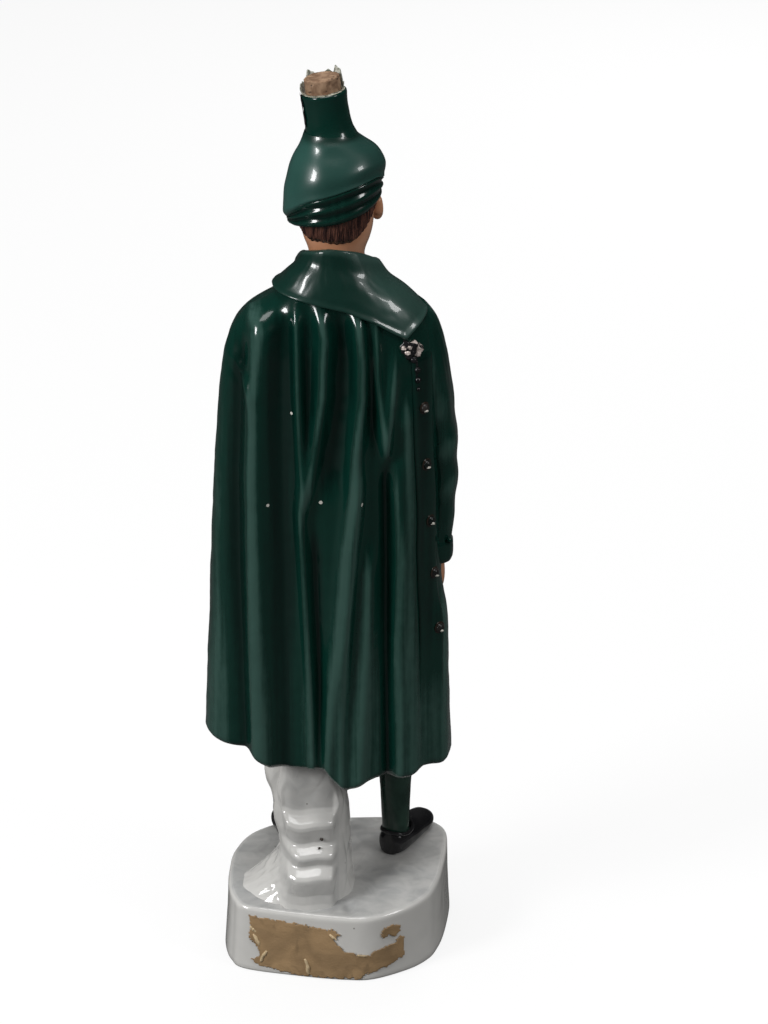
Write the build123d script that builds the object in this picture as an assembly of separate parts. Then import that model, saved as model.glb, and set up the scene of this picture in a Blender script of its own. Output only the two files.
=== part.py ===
from build123d import *
import math
import os

os.makedirs("parts", exist_ok=True)

# Walls, cuts and fits
shell_wall = 4.5
overrun = 20.0
cork_clearance = 0.05
seat_depth = 0.8
ring_count = 18
back_ring_count = 32
front_ring_count = 14
oval_power = 2.0
cloak_power = 2.25
cavity_power = 2.5

# Plinth
plinth_half_width = 54.0
plinth_half_depth = 42.0
plinth_back_height = 30.0
plinth_front_height = 36.0
plinth_draft = 1.4
plinth_rim_round = 2.0
foot_ring_width = 6.0
foot_ring_height = 1.5
plinth_outline_shares = (
    (0.841, 0.0), (0.841, 0.333), (0.794, 0.588), (0.678, 0.774),
    (0.235, 0.921), (-0.124, 0.995), (-0.356, 0.981), (-0.637, 0.786),
    (-0.794, 0.588), (-0.87, 0.39), (-0.937, 0.071), (-0.993, -0.476),
    (-0.963, -0.786), (-0.778, -0.952), (-0.37, -0.99), (0.259, -0.94),
    (0.63, -0.714), (0.796, -0.357),
)

# Torn paper label on the back of the plinth
label_half_width = 35.0
label_height = 27.2
label_thickness = 0.35
paper_gap = 0.03
label_outline_shares = (
    (0.997, 1.0), (0.826, 0.976), (-0.069, 0.874), (-0.129, 0.804),
    (-0.043, 0.699), (-0.191, 0.493), (-0.449, 0.423), (-0.806, 0.542),
    (-0.903, 0.664), (-0.929, 0.283), (-0.683, 0.196), (-0.437, 0.108),
    (-0.377, 0.049), (0.363, 0.042), (0.831, 0.108), (0.98, 0.196),
    (0.831, 0.318), (1.0, 0.577),
)
scrap_width = 7.4
scrap_height = 5.4
scrap_x = -26.0
scrap_z = 21.4

# Rock stump under the cloak
stump_x = 9.0
stump_front = -6.0
stump_back = 36.0
stump_half_width = 27.0
stump_sides = 11
stump_jag_share = 0.07
stump_row_shares = (
    (0.0, 0.95, 1.0, 1.0),
    (0.13, 0.74, 0.78, 0.93),
    (0.24, 0.6, 0.68, 0.87),
    (0.27, 0.54, 0.62, 0.79),
    (0.36, 0.52, 0.62, 0.77),
    (0.39, 0.53, 0.61, 0.7),
    (0.51, 0.64, 0.68, 0.67),
    (0.545, 0.6, 0.63, 0.59),
    (0.66, 0.68, 0.66, 0.56),
    (0.85, 0.6, 0.56, 0.5),
    (1.0, 0.5, 0.48, 0.46),
)

# Cloak, a hollow body that holds the liquor
cloak_y = -1.0
hem_height = 84.0
cloak_height = 228.0
cloak_half_width = 53.0
cloak_back = 30.0
cloak_front = 34.0
hem_middle_height = 92.3
hem_tilt = 8.25
floor_height = 104.0
throat_radius = 7.6
throat_x = -2.0
shoulder_inset = 7.5
cloak_row_shares = (
    (-0.0351, 1.0, 0.996, 0.993, 0.982),
    (0.0702, 0.994, 0.985, 0.98, 0.976),
    (0.2018, 0.968, 0.943, 0.947, 0.959),
    (0.3333, 0.942, 0.904, 0.907, 0.935),
    (0.4649, 0.917, 0.879, 0.863, 0.909),
    (0.5965, 0.885, 0.864, 0.82, 0.876),
    (0.7281, 0.847, 0.849, 0.773, 0.835),
    (0.8158, 0.809, 0.823, 0.727, 0.794),
    (0.8728, 0.766, 0.785, 0.68, 0.747),
    (0.9123, 0.66, 0.698, 0.627, 0.682),
    (0.943, 0.453, 0.557, 0.553, 0.582),
    (0.9737, 0.294, 0.387, 0.473, 0.476),
    (1.0, 0.242, 0.309, 0.42, 0.4),
)
cavity_row_shares = (0.108, 0.33, 0.56, 0.73, 0.86)

# Folds: place at the top and at the hem, width and height of each ridge
fold_depth = 4.6
fold_start_share = 0.93
fold_ramp_share = 0.5
back_fold_shares = (
    (0.97, 0.86, 0.1, 0.6),
    (0.68, 0.54, 0.12, 1.0),
    (0.36, 0.27, 0.06, 0.4),
    (0.1, 0.13, 0.085, 0.75),
    (-0.3, -0.08, 0.1, 1.1),
    (-0.52, -0.36, 0.07, 0.45),
    (-0.7, -0.56, 0.09, 0.7),
    (-0.93, -0.88, 0.12, 0.6),
)
front_fold_shares = (
    (0.9, 0.88, 0.11, 0.6),
    (-0.9, -0.88, 0.11, 0.6),
)

# Front opening of the cloak
opening_top_height = 295.0
opening_top_half_width = 9.5
opening_hem_half_width = 36.5
opening_back = -19.0

# Wide turned-down collar
collar_thickness = 2.6
collar_edge_height = 297.6
collar_edge_x = -6.2
collar_tilt = -21.8
collar_end_x = -33.2
collar_end_height = 286.3
collar_end_tilt = 41.0
collar_top_height = 321.0
collar_stand_half_width = 14.2
collar_stand_wall = 2.0
collar_vee_half_width = 7.0
collar_vee_height = 24.0

# Tunic, belt and kilt in the front opening
tunic_half_width = 36.0
tunic_depth = 27.0
tunic_chest_share = 1.04
tunic_top_share = 0.84
belt_height = 205.0
belt_width = 8.0
belt_thickness = 1.3
buckle_width = 11.0
buckle_height = 10.0
buckle_bar = 1.8
buckle_thickness = 1.6
kilt_bottom_height = 137.0
kilt_flare = 3.5
pleat_depth = 0.9
pleat_count = 30
tunic_button_count = 4
tunic_button_pitch = 17.0
tunic_button_radius = 1.7

# Placket, buttons and clasp on the back of the right shoulder
placket_thickness = 1.1
placket_half_width = 4.4
placket_top_x = -37.5
placket_top_height = 272.0
placket_end_x = -43.5
placket_end_height = 112.0
button_radius = 1.9
button_dome = 1.5
button_count = 5
button_first_height = 253.8
button_pitch = 24.8
button_place_share = 0.45
clasp_x = -32.4
clasp_height = 279.0
clasp_radius = 3.6
clasp_thickness = 1.8
clasp_lobes = 5
bead_radius = 1.35
bead_first_height = 270.7
bead_pitch = 4.4
bead_stem_radius = 0.6
bead_x = -36.0

# Right sleeve and hand
sleeve_y = -4.0
sleeve_half_depth = 10.5
sleeve_half_width = 8.2
sleeve_bottom_height = 180.0
sleeve_height = 116.0
sleeve_reach = 54.0
cuff_height = 9.0
cuff_thickness = 0.9
sleeve_row_shares = (
    (0.0, 0.945, 0.8, 0.8),
    (0.08, 0.962, 0.86, 0.88),
    (0.22, 0.981, 0.95, 0.96),
    (0.38, 1.0, 1.0, 1.0),
    (0.6, 0.96, 1.0, 1.0),
    (0.8, 0.885, 1.0, 1.0),
    (0.93, 0.8, 0.85, 0.85),
    (1.0, 0.71, 0.45, 0.5),
)
hand_x = -45.6
hand_y = -11.0
hand_bottom_height = 168.0
hand_half_width = 4.4
hand_half_depth = 7.0
finger_radius = 1.75
finger_length = 13.0
finger_count = 4
thumb_length = 11.0
thumb_turn = 28.0

# Legs, stockings and shoes
leg_ankle_height = 37.0
leg_knee_height = 112.0
leg_row_shares = (
    (0.0, 0.76, 0.0),
    (0.12, 0.74, 0.06),
    (0.4, 0.93, 0.33),
    (0.66, 1.1, 0.64),
    (0.86, 1.0, 0.86),
    (1.0, 0.97, 1.0),
)
leg_radius = 6.4
knee_radius = 6.8
ankle_y = -15.0
knee_y = -23.4
right_ankle_x = -29.2
right_knee_x = -27.6
right_hip_x = -22.5
left_ankle_x = 13.5
left_knee_x = 14.5
left_hip_x = 12.0
stocking_band_height = 7.0
stocking_band_thickness = 0.9
shoe_length = 35.0
shoe_half_width = 6.6
shoe_height = 12.5
shoe_heel_back = 7.0
right_shoe_turn = 30.0
left_shoe_turn = -16.0
sole_thickness = 1.6
sole_margin = 0.7
shoe_row_shares = (
    (0.0, 0.42, 0.62),
    (0.1, 0.7, 0.95),
    (0.28, 0.82, 1.0),
    (0.45, 0.84, 0.86),
    (0.65, 1.0, 0.66),
    (0.85, 0.92, 0.54),
    (1.0, 0.45, 0.34),
)

# Head, hair and ears
head_x = -2.9
head_y = -2.0
head_height = 39.0
head_half_width = 15.0
head_back = 14.6
head_front = 20.6
head_row_shares = (
    (0.0, 0.787, 0.795, 0.515),
    (0.1538, 0.827, 0.836, 0.854),
    (0.2821, 0.913, 0.918, 0.981),
    (0.5128, 1.0, 1.0, 0.99),
    (0.7692, 1.0, 0.973, 0.981),
    (1.0, 0.827, 0.808, 0.796),
)
skull_wall = 4.2
skull_cavity_height = 330.0
hair_thickness = 1.5
hair_bottom_height = 324.5
hair_front = -3.5
ear_heights = (326.3, 329.8)
ear_half_heights = (3.4, 5.4)
ear_half_depth = 3.2
ear_half_width = 2.3
ear_gap = 0.2
eye_height = 334.6
eye_spread = 6.2
eye_radius = 2.7
socket_half_width = 4.0
socket_half_height = 2.6
socket_depth = 1.9
nose_tip_height = 328.4
nose_bridge_height = 338.0
nose_half_width = 3.1
nose_length = 4.4
mouth_height = 322.8
mouth_half_width = 4.6
lip_half_height = 1.1
lip_depth = 1.5
brow_height = 338.0
brow_half_width = 4.6
brow_half_height = 1.0
brow_depth = 1.2
chin_height = 318.2
chin_half_width = 4.6
chin_half_height = 2.8
chin_depth = 2.2

# Soft cap with a rolled edge and a band
hat_y = -3.0
hat_top_height = 366.0
hat_height = 40.0
hat_half_width = 23.0
hat_half_depth = 21.5
hat_wall = 3.4
hat_edge_height = 343.0
hat_edge_side_slope = 0.36
band_edge_height = 336.6
band_edge_side_slope = 0.28
hat_back_slope = 0.15
band_inset = 2.0
hat_row_shares = (
    (-1.0, 0.674, 0.848, 0.814, 0.814),
    (-0.85, 0.8, 0.917, 0.94, 0.958),
    (-0.65, 0.796, 0.957, 0.986, 1.0),
    (-0.45, 0.748, 1.0, 0.958, 0.977),
    (-0.275, 0.657, 0.952, 0.819, 0.837),
    (-0.125, 0.487, 0.748, 0.614, 0.633),
    (0.0, 0.43, 0.461, 0.474, 0.479),
)

# Leaning neck of the bottle and its cork
neck_x = 0.0
neck_lean = 8.0
neck_length = 17.1
neck_radius = 9.2
neck_root_radius = 10.4
neck_flare_length = 5.0
bore_radius = 7.3
rim_round = 0.9
cork_seat_length = 11.5
cork_stand = 6.4
cork_taper = 0.35
cork_edge_round = 0.7

# Torn remains of the seal
seal_gap = 0.35
seal_thickness = 0.45
seal_height = 8.6
seal_low_height = 1.2
seal_high_turn = 270
seal_tooth_count = 13
strip_thickness = 0.4
strip_length = 12.0
strip_half_width = 3.2


# Turns round a ring, closer together at the back where the folds are
def even_turns(count=ring_count):
    return [2 * math.pi * step / count for step in range(count)]


def fold_turns():
    back = [math.pi * step / back_ring_count for step in range(back_ring_count)]
    front = [math.pi * (step / front_ring_count - 1) for step in range(front_ring_count)]
    return back + front


def oval(left, right, back, front, power=oval_power, turns=even_turns()):
    points = []
    for turn in turns:
        across = math.cos(turn)
        along = math.sin(turn)
        side = left if across >= 0 else right
        end = back if along >= 0 else front
        x = side * math.copysign(abs(across) ** (2 / power), across)
        y = end * math.copysign(abs(along) ** (2 / power), along)
        points.append((x, y))
    return points


def ring_face(points, height, x=0, y=0):
    edge = Spline([(x + px, y + py, height) for px, py in points], periodic=True)
    return Face(Wire([edge]))


def ring_loft(rings):
    return loft([ring_face(*ring) for ring in rings])


def row_at(rows, share):
    below = rows[0]
    for row in rows:
        if row[0] >= share:
            span = row[0] - below[0]
            part = (share - below[0]) / span if span else 0
            return [low + (high - low) * part for low, high in zip(below, row)]
        below = row
    return list(rows[-1])


def lean_plane(x, y, height, tilt):
    turn = math.radians(tilt)
    return Plane(origin=(x, y, height), x_dir=(math.cos(turn), 0, -math.sin(turn)), z_dir=(math.sin(turn), 0, math.cos(turn)))


# Plane that drops towards the left side and towards the back
def slope_plane(height, side_slope, back_slope):
    return Plane(origin=(0, 0, height), z_dir=(side_slope, back_slope, 1))


def prism(points, start, depth):
    outline = Polyline([(x, start, z) for x, z in points], close=True)
    return extrude(Face(Wire(outline.edges())), amount=depth, dir=(0, 1, 0))


def ellipsoid(x, y, z, half_x, half_y, half_z):
    ball = scale(Sphere(1), by=(half_x, half_y, half_z))
    return Pos(x, y, z) * ball


def base_cylinder(radius, height):
    return Cylinder(radius, height, align=(Align.CENTER, Align.CENTER, Align.MIN))


# Where a line along Y meets the front or the back of a piece
def surface_y(shape, x, z, front):
    reach = 2 * cloak_half_width
    spots = []
    for edge in (Line((x, -reach, z), (x, reach, z)) & shape).edges():
        spots.extend(vertex.Y for vertex in edge.vertices())
    return min(spots) if front else max(spots)


def write(shape, name):
    export_step(shape, "parts/" + name + ".step")


# Plinth outline, moved out or in by a distance
def plinth_ring(offset):
    points = []
    for share_x, share_y in plinth_outline_shares:
        x = share_x * plinth_half_width
        y = share_y * plinth_half_depth
        reach = math.hypot(x, y)
        points.append((x * (reach + offset) / reach, y * (reach + offset) / reach))
    return points


def plinth_block(offset):
    low = ring_face(plinth_ring(offset), 0)
    high = ring_face(plinth_ring(offset - plinth_draft), plinth_front_height + overrun)
    return loft([low, high], ruled=True)


def plinth_top_plane():
    span = 2 * plinth_half_depth
    slope = (plinth_back_height - plinth_front_height) / span
    turn = math.atan(slope)
    return Plane(origin=(0, plinth_half_depth, plinth_back_height), x_dir=(1, 0, 0), z_dir=(0, -math.sin(turn), math.cos(turn)))


def make_plinth():
    block = split(plinth_block(0), bisect_by=plinth_top_plane(), keep=Keep.BOTTOM)
    top = block.faces().sort_by(Axis.Z)[-1]
    block = fillet(top.edges(), plinth_rim_round)
    recess = extrude(ring_face(plinth_ring(-foot_ring_width), 0), amount=foot_ring_height, dir=(0, 0, 1))
    return block - recess


def paper_sheet(outline):
    sheet = plinth_block(label_thickness) & prism(outline, 0, plinth_half_depth + overrun)
    return sheet - plinth_block(paper_gap)


def make_label():
    return paper_sheet([(x * label_half_width, z * label_height) for x, z in label_outline_shares])


def make_scrap():
    left = scrap_x - scrap_width / 2
    right = scrap_x + scrap_width / 2
    low = scrap_z - scrap_height / 2
    high = scrap_z + scrap_height / 2
    outline = [(left, low), (scrap_x, low + scrap_height / 5), (right, low), (right - scrap_width / 6, high), (left + scrap_width / 4, high)]
    return paper_sheet(outline)


def make_stump(plinth):
    low = plinth_back_height - overrun / 4
    rise = floor_height - low
    middle = (stump_front + stump_back) / 2
    faces = []
    for level, (share, left, right, back) in enumerate(stump_row_shares):
        points = []
        for step in range(stump_sides):
            turn = 2 * math.pi * (step + 0.3) / stump_sides
            jag = 1 + stump_jag_share * math.sin(2.4 * step + 0.9 * level)
            side = (left if math.cos(turn) > 0 else right) * stump_half_width
            end = stump_back * back - middle * back if math.sin(turn) > 0 else middle * back - stump_front
            points.append((stump_x + side * jag * math.cos(turn), middle * back + end * jag * math.sin(turn), low + rise * share))
        outline = Polyline(points, close=True)
        faces.append(Face(Wire(outline.edges())))
    return loft(faces, ruled=True) - plinth


# Height of the fold ridges at a turn round the cloak
def fold_bump(turn, share):
    ramp = max(0, min(1, (fold_start_share - share) / fold_ramp_share))
    total = 0
    for table, sign in ((back_fold_shares, 1), (front_fold_shares, -1)):
        for top, hem, width, height in table:
            place = hem + (top - hem) * max(0, min(1, share))
            gap = sign * turn - math.acos(place)
            total += height * math.exp(-((gap / width) ** 2))
    return fold_depth * ramp * total


def cloak_ring(share, offset, fold_share):
    row = row_at(cloak_row_shares, share)
    left = row[1] * cloak_half_width
    right = row[2] * cloak_half_width
    back = row[3] * cloak_back
    front = row[4] * cloak_front
    points = []
    for turn, (x, y) in zip(fold_turns(), oval(left, right, back, front, cloak_power, fold_turns())):
        side = left if x >= 0 else right
        end = back if y >= 0 else front
        out_x = math.cos(turn) * end
        out_y = math.sin(turn) * side
        size = math.hypot(out_x, out_y)
        move = offset + fold_share * fold_bump(turn, share)
        points.append((x + out_x / size * move, y + out_y / size * move))
    return points


def cloak_z(share):
    return hem_height + cloak_height * share


def cloak_share(height):
    return (height - hem_height) / cloak_height


def make_cloak_block(offset=0):
    rings = []
    for row in cloak_row_shares:
        rings.append((cloak_ring(row[0], offset, 1), cloak_z(row[0]), 0, cloak_y))
    return ring_loft(rings)


# Plain oval inside the cloak, its front held behind the opening when asked
def inner_ring(share, inset, behind_opening):
    row = row_at(cloak_row_shares, share)
    left = row[1] * cloak_half_width - inset
    right = row[2] * cloak_half_width - inset
    back = row[3] * cloak_back - inset
    front = row[4] * cloak_front - inset
    if behind_opening:
        front = min(front, cloak_y - opening_back - inset)
    return oval(left, right, back, front, cavity_power)


def make_cavity():
    rings = []
    for share in cavity_row_shares:
        rings.append((inner_ring(share, shell_wall, True), cloak_z(share), 0, cloak_y))
    last = cavity_row_shares[-1]
    rings.append((inner_ring(last, shell_wall + shoulder_inset, True), cloak_z(last) + shoulder_inset, 0, cloak_y))
    return ring_loft(rings)


def make_opening():
    outline = [
        (opening_top_half_width, opening_top_height),
        (-opening_top_half_width, opening_top_height),
        (-opening_hem_half_width, hem_height - overrun),
        (opening_hem_half_width, hem_height - overrun),
    ]
    return prism(outline, opening_back - 2 * cloak_front, 2 * cloak_front)


def make_cloak(block, opening, legs):
    hem_plane = lean_plane(0, 0, hem_middle_height, -hem_tilt)
    cloak = split(block, bisect_by=hem_plane, keep=Keep.TOP)
    recess_low = ring_face(inner_ring(0, shell_wall, False), hem_height - overrun, 0, cloak_y)
    recess_high = ring_face(inner_ring(cloak_share(floor_height), shell_wall, False), floor_height, 0, cloak_y)
    cloak = cloak - opening
    cloak = cloak - loft([recess_low, recess_high])
    cloak = cloak - make_cavity()
    throat_low = cloak_z(cavity_row_shares[-1])
    cloak = cloak - Pos(throat_x, cloak_y, throat_low) * base_cylinder(throat_radius, 2 * overrun + cloak_z(1) - throat_low)
    for leg in legs:
        cloak = cloak - leg
    return cloak


def make_collar(block, neck):
    rings = []
    for row in cloak_row_shares:
        if cloak_share(collar_end_height - overrun) < row[0] < 1 - overrun / cloak_height / 5:
            rings.append((cloak_ring(row[0], collar_thickness, 0), cloak_z(row[0]), 0, cloak_y))
    stand = collar_stand_half_width
    middle = (cloak_z(1) + collar_top_height) / 2
    rings.append((oval(stand, stand, stand, stand, oval_power, fold_turns()), middle, throat_x, cloak_y))
    rim = stand - collar_stand_wall / 4
    rings.append((oval(rim, rim, rim, rim, oval_power, fold_turns()), collar_top_height, throat_x, cloak_y))
    collar = ring_loft(rings)
    collar = split(collar, bisect_by=lean_plane(collar_edge_x, 0, collar_edge_height, collar_tilt), keep=Keep.TOP)
    collar = split(collar, bisect_by=lean_plane(collar_end_x, 0, collar_end_height, collar_end_tilt), keep=Keep.TOP)
    collar = collar - block
    collar = collar - neck
    low = collar_top_height - collar_vee_height
    vee = [(throat_x, low), (throat_x + collar_vee_half_width, collar_top_height + overrun), (throat_x - collar_vee_half_width, collar_top_height + overrun)]
    return collar - prism(vee, -2 * cloak_front, 2 * cloak_front - stand / 2)


def front_piece(levels, offset, pleats, opening):
    rings = []
    for height, depth_share in levels:
        points = []
        for turn in even_turns(2 * pleat_count if pleats else ring_count):
            pleat = pleats * math.cos(pleat_count * turn)
            side = tunic_half_width + offset
            deep = tunic_depth * depth_share + offset + pleat
            points.append((side * math.cos(turn), deep * math.sin(turn)))
        rings.append((points, height, 0, cloak_y))
    return ring_loft(rings) & opening


def make_tunic(opening):
    top = opening_top_height + seat_depth
    chest = (belt_height + 2 * top) / 3
    return front_piece(((belt_height + belt_width, 0.96), (chest, tunic_chest_share), (top, tunic_top_share)), 0, 0, opening)


def make_belt(opening):
    return front_piece(((belt_height, 0.96), (belt_height + belt_width, 0.96)), belt_thickness, 0, opening)


def make_kilt(opening):
    flare = 0.96 + kilt_flare / tunic_depth
    return front_piece(((kilt_bottom_height, flare), (belt_height, 0.96)), 0, pleat_depth, opening)


def make_buckle(belt):
    face = cloak_y - tunic_depth * 0.96 - belt_thickness
    middle = belt_height + belt_width / 2
    outer = Pos(0, face, middle) * Box(buckle_width, 2 * buckle_thickness, buckle_height)
    hole = Box(buckle_width - 2 * buckle_bar, 4 * buckle_thickness, buckle_height - 2 * buckle_bar)
    tongue = Pos(0, face - buckle_thickness / 2, middle) * Box(buckle_bar, buckle_thickness, buckle_height)
    buckle = outer - Pos(0, face, middle) * hole + tongue
    back = Pos(0, face + buckle_thickness, middle) * Box(2 * buckle_width, 2 * buckle_thickness, 2 * buckle_height)
    return buckle - back - belt


# Domed button that faces back (turn 0) or front (turn 180)
def largest(shape):
    return max(shape.solids(), key=lambda solid: solid.volume)


def button(x, y, z, radius, dome, turn):
    ball_radius = (radius * radius + dome * dome) / (2 * dome)
    ball = Pos(0, 0, dome - ball_radius) * Sphere(ball_radius)
    shank = Pos(0, 0, -seat_depth) * base_cylinder(radius, dome + seat_depth)
    head = shank & (ball + Pos(0, 0, -seat_depth) * base_cylinder(radius, seat_depth))
    return Pos(x, y, z) * Rot(0, 0, turn) * Rot(-90, 0, 0) * head


def make_tunic_buttons(tunic):
    buttons = []
    top = opening_top_height - tunic_button_pitch / 2
    for step in range(tunic_button_count):
        z = top - step * tunic_button_pitch
        face = surface_y(tunic, 0, z, True)
        buttons.append(button(0, face, z, tunic_button_radius, button_dome, 180) - tunic)
    return buttons


def placket_x(height):
    part = (placket_top_height - height) / (placket_top_height - placket_end_height)
    return placket_top_x + (placket_end_x - placket_top_x) * part


def make_placket(block):
    rings = []
    for row in cloak_row_shares:
        if cloak_z(row[0]) > placket_end_height - 2 * overrun and cloak_z(row[0]) < placket_top_height + overrun:
            rings.append((cloak_ring(row[0], placket_thickness, 1), cloak_z(row[0]), 0, cloak_y))
    outline = [
        (placket_top_x + placket_half_width, placket_top_height),
        (placket_top_x - placket_half_width, placket_top_height),
        (placket_end_x - placket_half_width, placket_end_height),
        (placket_end_x + placket_half_width, placket_end_height),
    ]
    return (ring_loft(rings) & prism(outline, 0, 2 * cloak_back)) - block


def make_placket_buttons(placket):
    buttons = []
    for step in range(button_count):
        z = button_first_height - step * button_pitch
        x = placket_x(z)
        y = surface_y(placket, x, z, False)
        rise = surface_y(placket, x + button_radius, z, False) - surface_y(placket, x - button_radius, z, False)
        side = math.degrees(math.atan2(rise, 2 * button_radius))
        buttons.append(largest(button(x, y, z, button_radius, button_dome, side) - placket))
    return buttons


def make_clasp(block, collar):
    face = surface_y(block, clasp_x, clasp_height, False)
    points = []
    for step in range(2 * clasp_lobes):
        turn = math.pi * step / clasp_lobes
        reach = clasp_radius * (1 if step % 2 == 0 else 0.62)
        points.append((clasp_x + reach * math.cos(turn), clasp_height + 0.85 * reach * math.sin(turn)))
    star = prism(points, face - clasp_thickness, clasp_thickness + clasp_thickness)
    return star - block - collar


def make_beads(placket):
    low = bead_first_height - bead_pitch
    face = surface_y(placket, bead_x, low, False) + bead_radius / 4
    stem = Pos(bead_x, face, low) * base_cylinder(bead_stem_radius, bead_pitch)
    upper = Pos(bead_x, face, bead_first_height) * Sphere(bead_radius)
    lower = Pos(bead_x, face, low) * Sphere(bead_radius)
    return stem + upper + lower - placket


def sleeve_x(share):
    row = row_at(sleeve_row_shares, share)
    return -sleeve_reach * row[1] + sleeve_half_width * row[2]


def make_sleeve(block, collar):
    rings = []
    for share, reach, wide, deep in sleeve_row_shares:
        half_x = sleeve_half_width * wide
        half_y = sleeve_half_depth * deep
        rings.append((oval(half_x, half_x, half_y, half_y), sleeve_bottom_height + sleeve_height * share, sleeve_x(share), sleeve_y))
    sleeve = ring_loft(rings)
    row = sleeve_row_shares[0]
    half_x = sleeve_half_width * row[2] + cuff_thickness
    half_y = sleeve_half_depth * row[3] + cuff_thickness
    low = ring_face(oval(half_x, half_x, half_y, half_y), sleeve_bottom_height, sleeve_x(0), sleeve_y)
    cuff_share = cuff_height / sleeve_height
    row = row_at(sleeve_row_shares, cuff_share)
    half_x = sleeve_half_width * row[2] + cuff_thickness
    half_y = sleeve_half_depth * row[3] + cuff_thickness
    high = ring_face(oval(half_x, half_x, half_y, half_y), sleeve_bottom_height + cuff_height, sleeve_x(cuff_share), sleeve_y)
    return sleeve + loft([low, high]) - block - collar


def make_hand(block, sleeve):
    palm = ring_loft((
        (oval(hand_half_width, hand_half_width, 0.7 * hand_half_depth, 0.7 * hand_half_depth), sleeve_bottom_height, hand_x, hand_y + hand_half_width),
        (oval(hand_half_width, hand_half_width, hand_half_depth, hand_half_depth), (sleeve_bottom_height + hand_bottom_height) / 2, hand_x, hand_y),
        (oval(0.8 * hand_half_width, 0.8 * hand_half_width, hand_half_depth, hand_half_depth), hand_bottom_height, hand_x, hand_y),
    ))
    hand = palm
    for step in range(finger_count):
        y = hand_y + (step - (finger_count - 1) / 2) * 2 * hand_half_depth / finger_count
        length = finger_length * (0.82, 1.0, 0.96, 0.8)[step % 4]
        finger = Pos(hand_x, y, hand_bottom_height + finger_radius) * Rot(180, 0, 0) * base_cylinder(finger_radius, length)
        tip = Pos(hand_x, y, hand_bottom_height + finger_radius - length) * Sphere(finger_radius)
        hand = hand + finger + tip
    thumb = Rot(180 + thumb_turn, 0, 0) * base_cylinder(finger_radius, thumb_length)
    start = Pos(hand_x, hand_y - 0.6 * hand_half_depth, (sleeve_bottom_height + hand_bottom_height) / 2)
    hand = hand + start * thumb
    return hand - block - sleeve


def leg_rings(ankle_x, knee_x, radius_add, share_low, share_high):
    rings = []
    rise = leg_knee_height - leg_ankle_height
    for share, size, lean in leg_row_shares:
        if share_low <= share <= share_high:
            radius = leg_radius * size + radius_add
            x = ankle_x + (knee_x - ankle_x) * lean
            y = ankle_y + (knee_y - ankle_y) * lean
            rings.append((oval(radius, radius, radius, radius), leg_ankle_height + rise * share, x, y))
    return rings


def make_stocking(ankle_x, knee_x):
    stocking = ring_loft(leg_rings(ankle_x, knee_x, 0, 0, 1))
    radius = leg_radius * leg_row_shares[-1][1] + stocking_band_thickness
    low = ring_face(oval(radius, radius, radius, radius), leg_knee_height - stocking_band_height, knee_x, knee_y)
    high = ring_face(oval(radius, radius, radius, radius), leg_knee_height, knee_x, knee_y)
    return stocking + loft([low, high])


def make_knee(knee_x, hip_x):
    size = leg_radius * leg_row_shares[-1][1]
    middle = (leg_knee_height + kilt_bottom_height) / 2
    return ring_loft((
        (oval(size, size, size, size), leg_knee_height, knee_x, knee_y),
        (oval(knee_radius, knee_radius, knee_radius, knee_radius), middle, (knee_x + hip_x) / 2, knee_y),
        (oval(knee_radius, knee_radius, knee_radius, knee_radius), kilt_bottom_height, hip_x, knee_y),
    ))


# Low shoe along its own length, then turned and set under the ankle
def make_shoe(ankle_x, turn, stocking, plinth):
    faces = []
    for share, wide, high in shoe_row_shares:
        half = shoe_half_width * wide
        top = shoe_height * high
        along = shoe_length * share - shoe_heel_back
        points = [(x, -along, top / 2 + z) for x, z in oval(half, half, top / 2, top / 2, 2.6)]
        faces.append(Face(Wire([Spline(points, periodic=True)])))
    upper = loft(faces)
    place = Pos(ankle_x, ankle_y, leg_ankle_height - shoe_height / 3) * Rot(0, 0, -turn)
    return place * upper - stocking - plinth


def head_ring(row, side_add, back_add, front_add):
    side = row[1] * head_half_width + side_add
    return oval(side, side, row[2] * head_back + back_add, row[3] * head_front + front_add)


def head_z(share):
    return cloak_z(1) + head_height * share


def head_block(side_add, back_add, front_add):
    return ring_loft([(head_ring(row, side_add, back_add, front_add), head_z(row[0]), head_x, head_y) for row in head_row_shares])


def face_front(height):
    row = row_at(head_row_shares, (height - cloak_z(1)) / head_height)
    return head_y - row[3] * head_front


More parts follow.
